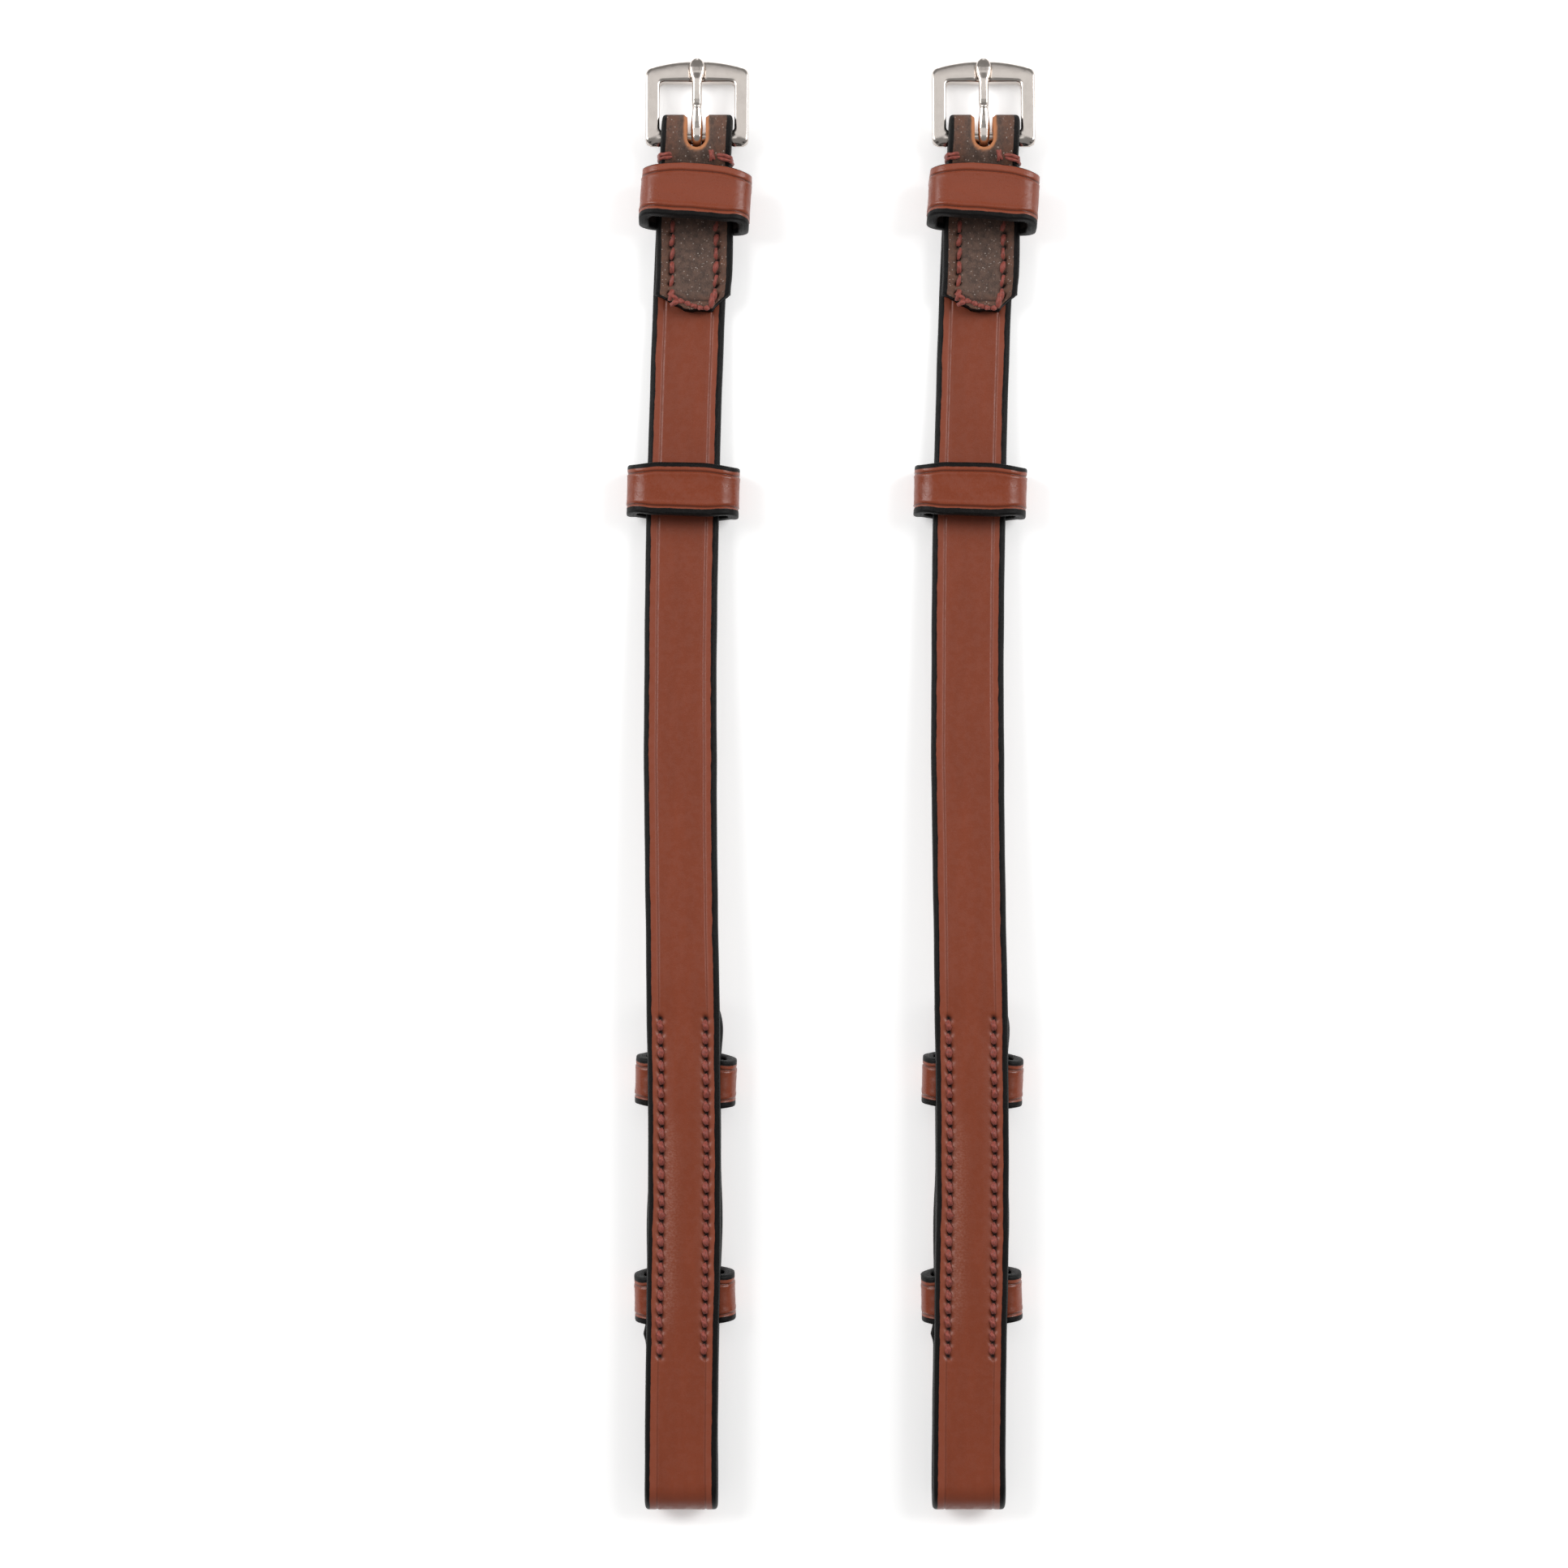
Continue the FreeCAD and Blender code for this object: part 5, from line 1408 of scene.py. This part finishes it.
def stud_mesh():
    """The hook stud: a domed plate, a post and a flat hook that lies under the billet."""
    _, high = node_box("near_hook_stud")
    centre = stud_centre()
    line = StripLine(0.0, high.z - 0.4 * MM, -math.pi / 2)
    line.run(4.3 * MM)
    line.bend(1.35 * MM, math.pi / 2)
    line.run(4.6 * MM)
    rings = []
    for along in np.linspace(0, line.total, 60):
        first, second, heading = [float(value[0]) for value in line.at([along])]
        spread = float(ease(along, 4.6 * MM, 7.5 * MM))
        tip = math.sqrt(max(0.02, 1 - max(0.0, (along - line.total + 2.2 * MM) / (2.2 * MM)) ** 2))
        half = (1.05 + 0.8 * spread) * MM * tip
        tall = (1.05 - 0.4 * spread) * MM * (0.5 + 0.5 * tip)
        sine, cosine = math.sin(heading), math.cos(heading)
        rings.append([(centre.x + across, centre.y + first - sine * up, second + cosine * up)
                      for across, up in superring(half, tall, 2.4, 22)])
    hook = loop_mesh("stud_hook", rings, close=False)
    turns = np.linspace(0, 2 * math.pi, 40, endpoint=False)
    discs = []
    for radius, height in ((0.2, 0.75), (2.6, 0.74), (3.1, 0.6), (3.2, 0.35), (3.1, 0.1), (2.6, 0.0),
                           (0.2, 0.0)):
        discs.append([(centre.x + radius * MM * math.cos(angle), centre.y + radius * MM * math.sin(angle),
                       high.z - 0.76 * MM + height * MM) for angle in turns])
    plate = loop_mesh("stud_plate", discs, close=False)
    mesh = joined("hook_stud", [hook, plate])
    smooth(mesh)
    return mesh


# ---- operators -------------------------------------------------------------------------------------

def strap_leather():
    """The straps' leather."""
    return leather_material("Bridle Leather", {
        "crease": bpy.context.scene.tack_strap.crease, "dye_left": 0.95, "dye_right": 1.1,
        "gloss": 0.36, "inside": 1.0, "wrinkle": 0.4, "groove": 0.2, "crease_shade": 0.3})


def keeper_leather():
    """The keepers' leather, which is glossier and more deeply creased, with painted shade darkening its
    inside and its creases.
    """
    return leather_material("Keeper Leather", {
        "crease": KEEPER_CREASE, "dye_left": 0.6, "dye_right": 0.9,
        "gloss": 0.27, "inside": 0.12, "wrinkle": 1.3, "groove": 0.26, "crease_shade": 0.8})


def waxed_thread():
    """The thread of every seam."""
    return kept_material("Waxed Thread", build_thread)


def polished_steel():
    """The metal of the buckles and studs."""
    return kept_material("Polished Steel", build_steel)


def both_sides(mesh, node, material, body, also=()):
    """The same piece on the near and the off strap, which may stand for other CAD nodes also."""
    for side in SIDES:
        copy = moved(mesh, Matrix.Translation((LINE[side], 0, 0)))
        copy.name = f"{side}_{node}"
        nodes = [f"{side}_{each}" for each in (node, *also)]
        show(f"{side}_{node}_piece", copy, material, f"{side}_{body}", nodes)
    bpy.data.meshes.remove(mesh)


class TACK_OT_cheek_straps(bpy.types.Operator):
    """Build the two folded straps"""
    bl_idname = "tack.cheek_straps"
    bl_label = "Cheek Straps"

    def execute(self, context):
        both_sides(finished_strap(), "cheek_strap", strap_leather(), "strap",
                   ("chape_fold",))
        return {"FINISHED"}


class TACK_OT_linings(bpy.types.Operator):
    """Build the linings under the lower ends"""
    bl_idname = "tack.linings"
    bl_label = "Linings"

    def execute(self, context):
        both_sides(lining_mesh(), "billet_lining", strap_leather(), "strap")
        return {"FINISHED"}


class TACK_OT_keepers(bpy.types.Operator):
    """Build the fixed keepers"""
    bl_idname = "tack.keepers"
    bl_label = "Fixed Keepers"

    def execute(self, context):
        both_sides(chape_keeper_mesh(), "chape_keeper", keeper_leather(), "strap")
        for node, lean, turn, seed in (("upper_billet_keeper", 8.0, -2.0, 5),
                                       ("lower_billet_keeper", 9.0, 1.5, 11)):
            both_sides(rear_keeper_mesh(node, lean, turn, seed), node, keeper_leather(), "strap")
        return {"FINISHED"}


class TACK_OT_runners(bpy.types.Operator):
    """Build the sliding runners"""
    bl_idname = "tack.runners"
    bl_label = "Runners"

    def execute(self, context):
        both_sides(runner_mesh(), "runner_keeper", keeper_leather(), "runner")
        return {"FINISHED"}


class TACK_OT_stitching(bpy.types.Operator):
    """Sew the rows of thread"""
    bl_idname = "tack.stitching"
    bl_label = "Stitching"

    def execute(self, context):
        both_sides(chape_thread_mesh(), "chape_thread", waxed_thread(), "strap")
        for hand, row in ((-1, "left"), (1, "right")):
            both_sides(lower_row_mesh(hand), f"{row}_billet_thread", waxed_thread(), "strap")
        return {"FINISHED"}


class TACK_OT_buckles(bpy.types.Operator):
    """Build the buckles and the hook studs"""
    bl_idname = "tack.buckles"
    bl_label = "Buckles and Studs"

    def execute(self, context):
        tilt = Matrix.Rotation(math.radians(BUCKLE_TILT), 4, "X")
        place = Matrix.Translation((BUCKLE_ACROSS, BAR.y, BAR.z)) @ tilt
        for maker, node, body in ((frame_mesh, "buckle_frame", "frame"),
                                  (tongue_mesh, "buckle_tongue", "tongue")):
            mesh = maker()
            mesh.transform(place)
            both_sides(mesh, node, polished_steel(), body)
        both_sides(stud_mesh(), "hook_stud", polished_steel(), "strap")
        return {"FINISHED"}


FLOOR_REACH = 4.0
FLOOR_UP = -0.05 * MM
VIEW_PLANE = 3.5 * MM


def softbox(name, location, size, power):
    """A large area light aimed at the middle of the pair."""
    light = bpy.data.lights.new(name, "AREA")
    light.shape, light.size, light.size_y = "RECTANGLE", size[0], size[1]
    light.energy = power
    lamp = bpy.data.objects.new(name, light)
    lamp.location = location
    lamp.rotation_euler = (-Vector(location)).to_track_quat("-Z", "Y").to_euler()
    bpy.context.scene.collection.objects.link(lamp)


class TACK_OT_stage(bpy.types.Operator):
    """Lay the table top, light the studio and set the camera"""
    bl_idname = "tack.stage"
    bl_label = "Stage"

    def execute(self, context):
        stage = context.scene.tack_stage
        floor_mesh = bpy.data.meshes.new("table_top")
        corners = [(x * FLOOR_REACH, y * FLOOR_REACH, 0) for x, y in ((-1, -1), (1, -1), (1, 1), (-1, 1))]
        floor_mesh.from_pydata(corners, [], [(0, 1, 2, 3)])
        table = bpy.data.objects.new("table_top", floor_mesh)
        table.location.z = FLOOR_UP
        context.scene.collection.objects.link(table)
        material, nodes, shader = new_material("Table Top")
        where = nodes.add("ShaderNodeTexCoord").outputs["Object"]
        cloud = nodes.noise(where, 3.0, 3.0)
        nodes.link(nodes.blend(cloud, shade(stage.floor, 0.985), opaque(stage.floor)),
                             shader.inputs["Base Color"])
        shader.inputs["Roughness"].default_value = 0.9
        shader.inputs["Specular IOR Level"].default_value = 0.1
        shader.inputs["Emission Color"].default_value = opaque((1.0, 1.0, 1.0))
        shader.inputs["Emission Strength"].default_value = stage.glow
        floor_mesh.materials.append(material)

        softbox("back_box", (0.0, 0.95, 1.5), (2.2, 0.55), stage.back)
        for name, across in (("left_box", -1.05), ("right_box", 1.05)):
            softbox(name, (across, 0.5, 0.85), (0.5, 1.3), stage.sides)
        world = bpy.data.worlds.new("Studio")
        context.scene.world = world
        world.use_nodes = True
        sky = world.node_tree.nodes["Background"]
        sky.inputs["Color"].default_value = (1.0, 0.99, 0.98, 1.0)
        sky.inputs["Strength"].default_value = stage.world

        lens = bpy.data.cameras.new("camera")
        lens.sensor_width = 36.0
        lens.lens = lens.sensor_width * (stage.height - VIEW_PLANE) / stage.span
        lens.clip_start, lens.clip_end = 0.05, 20.0
        camera = bpy.data.objects.new("camera", lens)
        camera.location = (stage.across, stage.along, stage.height)
        context.scene.collection.objects.link(camera)
        context.scene.camera = camera
        context.scene.view_settings.view_transform = "Standard"
        return {"FINISHED"}


class TACK_PT_pieces(bpy.types.Panel):
    """Buttons that build each group of pieces"""
    bl_idname = "TACK_PT_pieces"
    bl_label = "Bridle Cheekpieces"
    bl_space_type = "VIEW_3D"
    bl_region_type = "UI"
    bl_category = "Tack"

    def draw(self, context):
        for operator in OPERATORS:
            self.layout.operator(operator.bl_idname)


OPERATORS = (TACK_OT_stage, TACK_OT_cheek_straps, TACK_OT_linings, TACK_OT_keepers, TACK_OT_runners,
             TACK_OT_stitching, TACK_OT_buckles)
SETTINGS = {"tack_strap": TACK_PG_strap, "tack_thread": TACK_PG_thread, "tack_metal": TACK_PG_metal,
            "tack_stage": TACK_PG_stage}


def register():
    """Register the settings, the operators and the panel."""
    for name, settings in SETTINGS.items():
        bpy.utils.register_class(settings)
        setattr(bpy.types.Scene, name, bpy.props.PointerProperty(type=settings))
    for item in (*OPERATORS, TACK_PT_pieces):
        bpy.utils.register_class(item)


def unregister():
    """Undo register."""
    for item in (TACK_PT_pieces, *reversed(OPERATORS)):
        bpy.utils.unregister_class(item)
    for name, settings in reversed(SETTINGS.items()):
        delattr(bpy.types.Scene, name)
        bpy.utils.unregister_class(settings)


def main():
    """Build everything."""
    register()
    for operator in OPERATORS:
        group_name, call = operator.bl_idname.split(".")
        getattr(getattr(bpy.ops, group_name), call)()


if __name__ == "__main__":
    main()
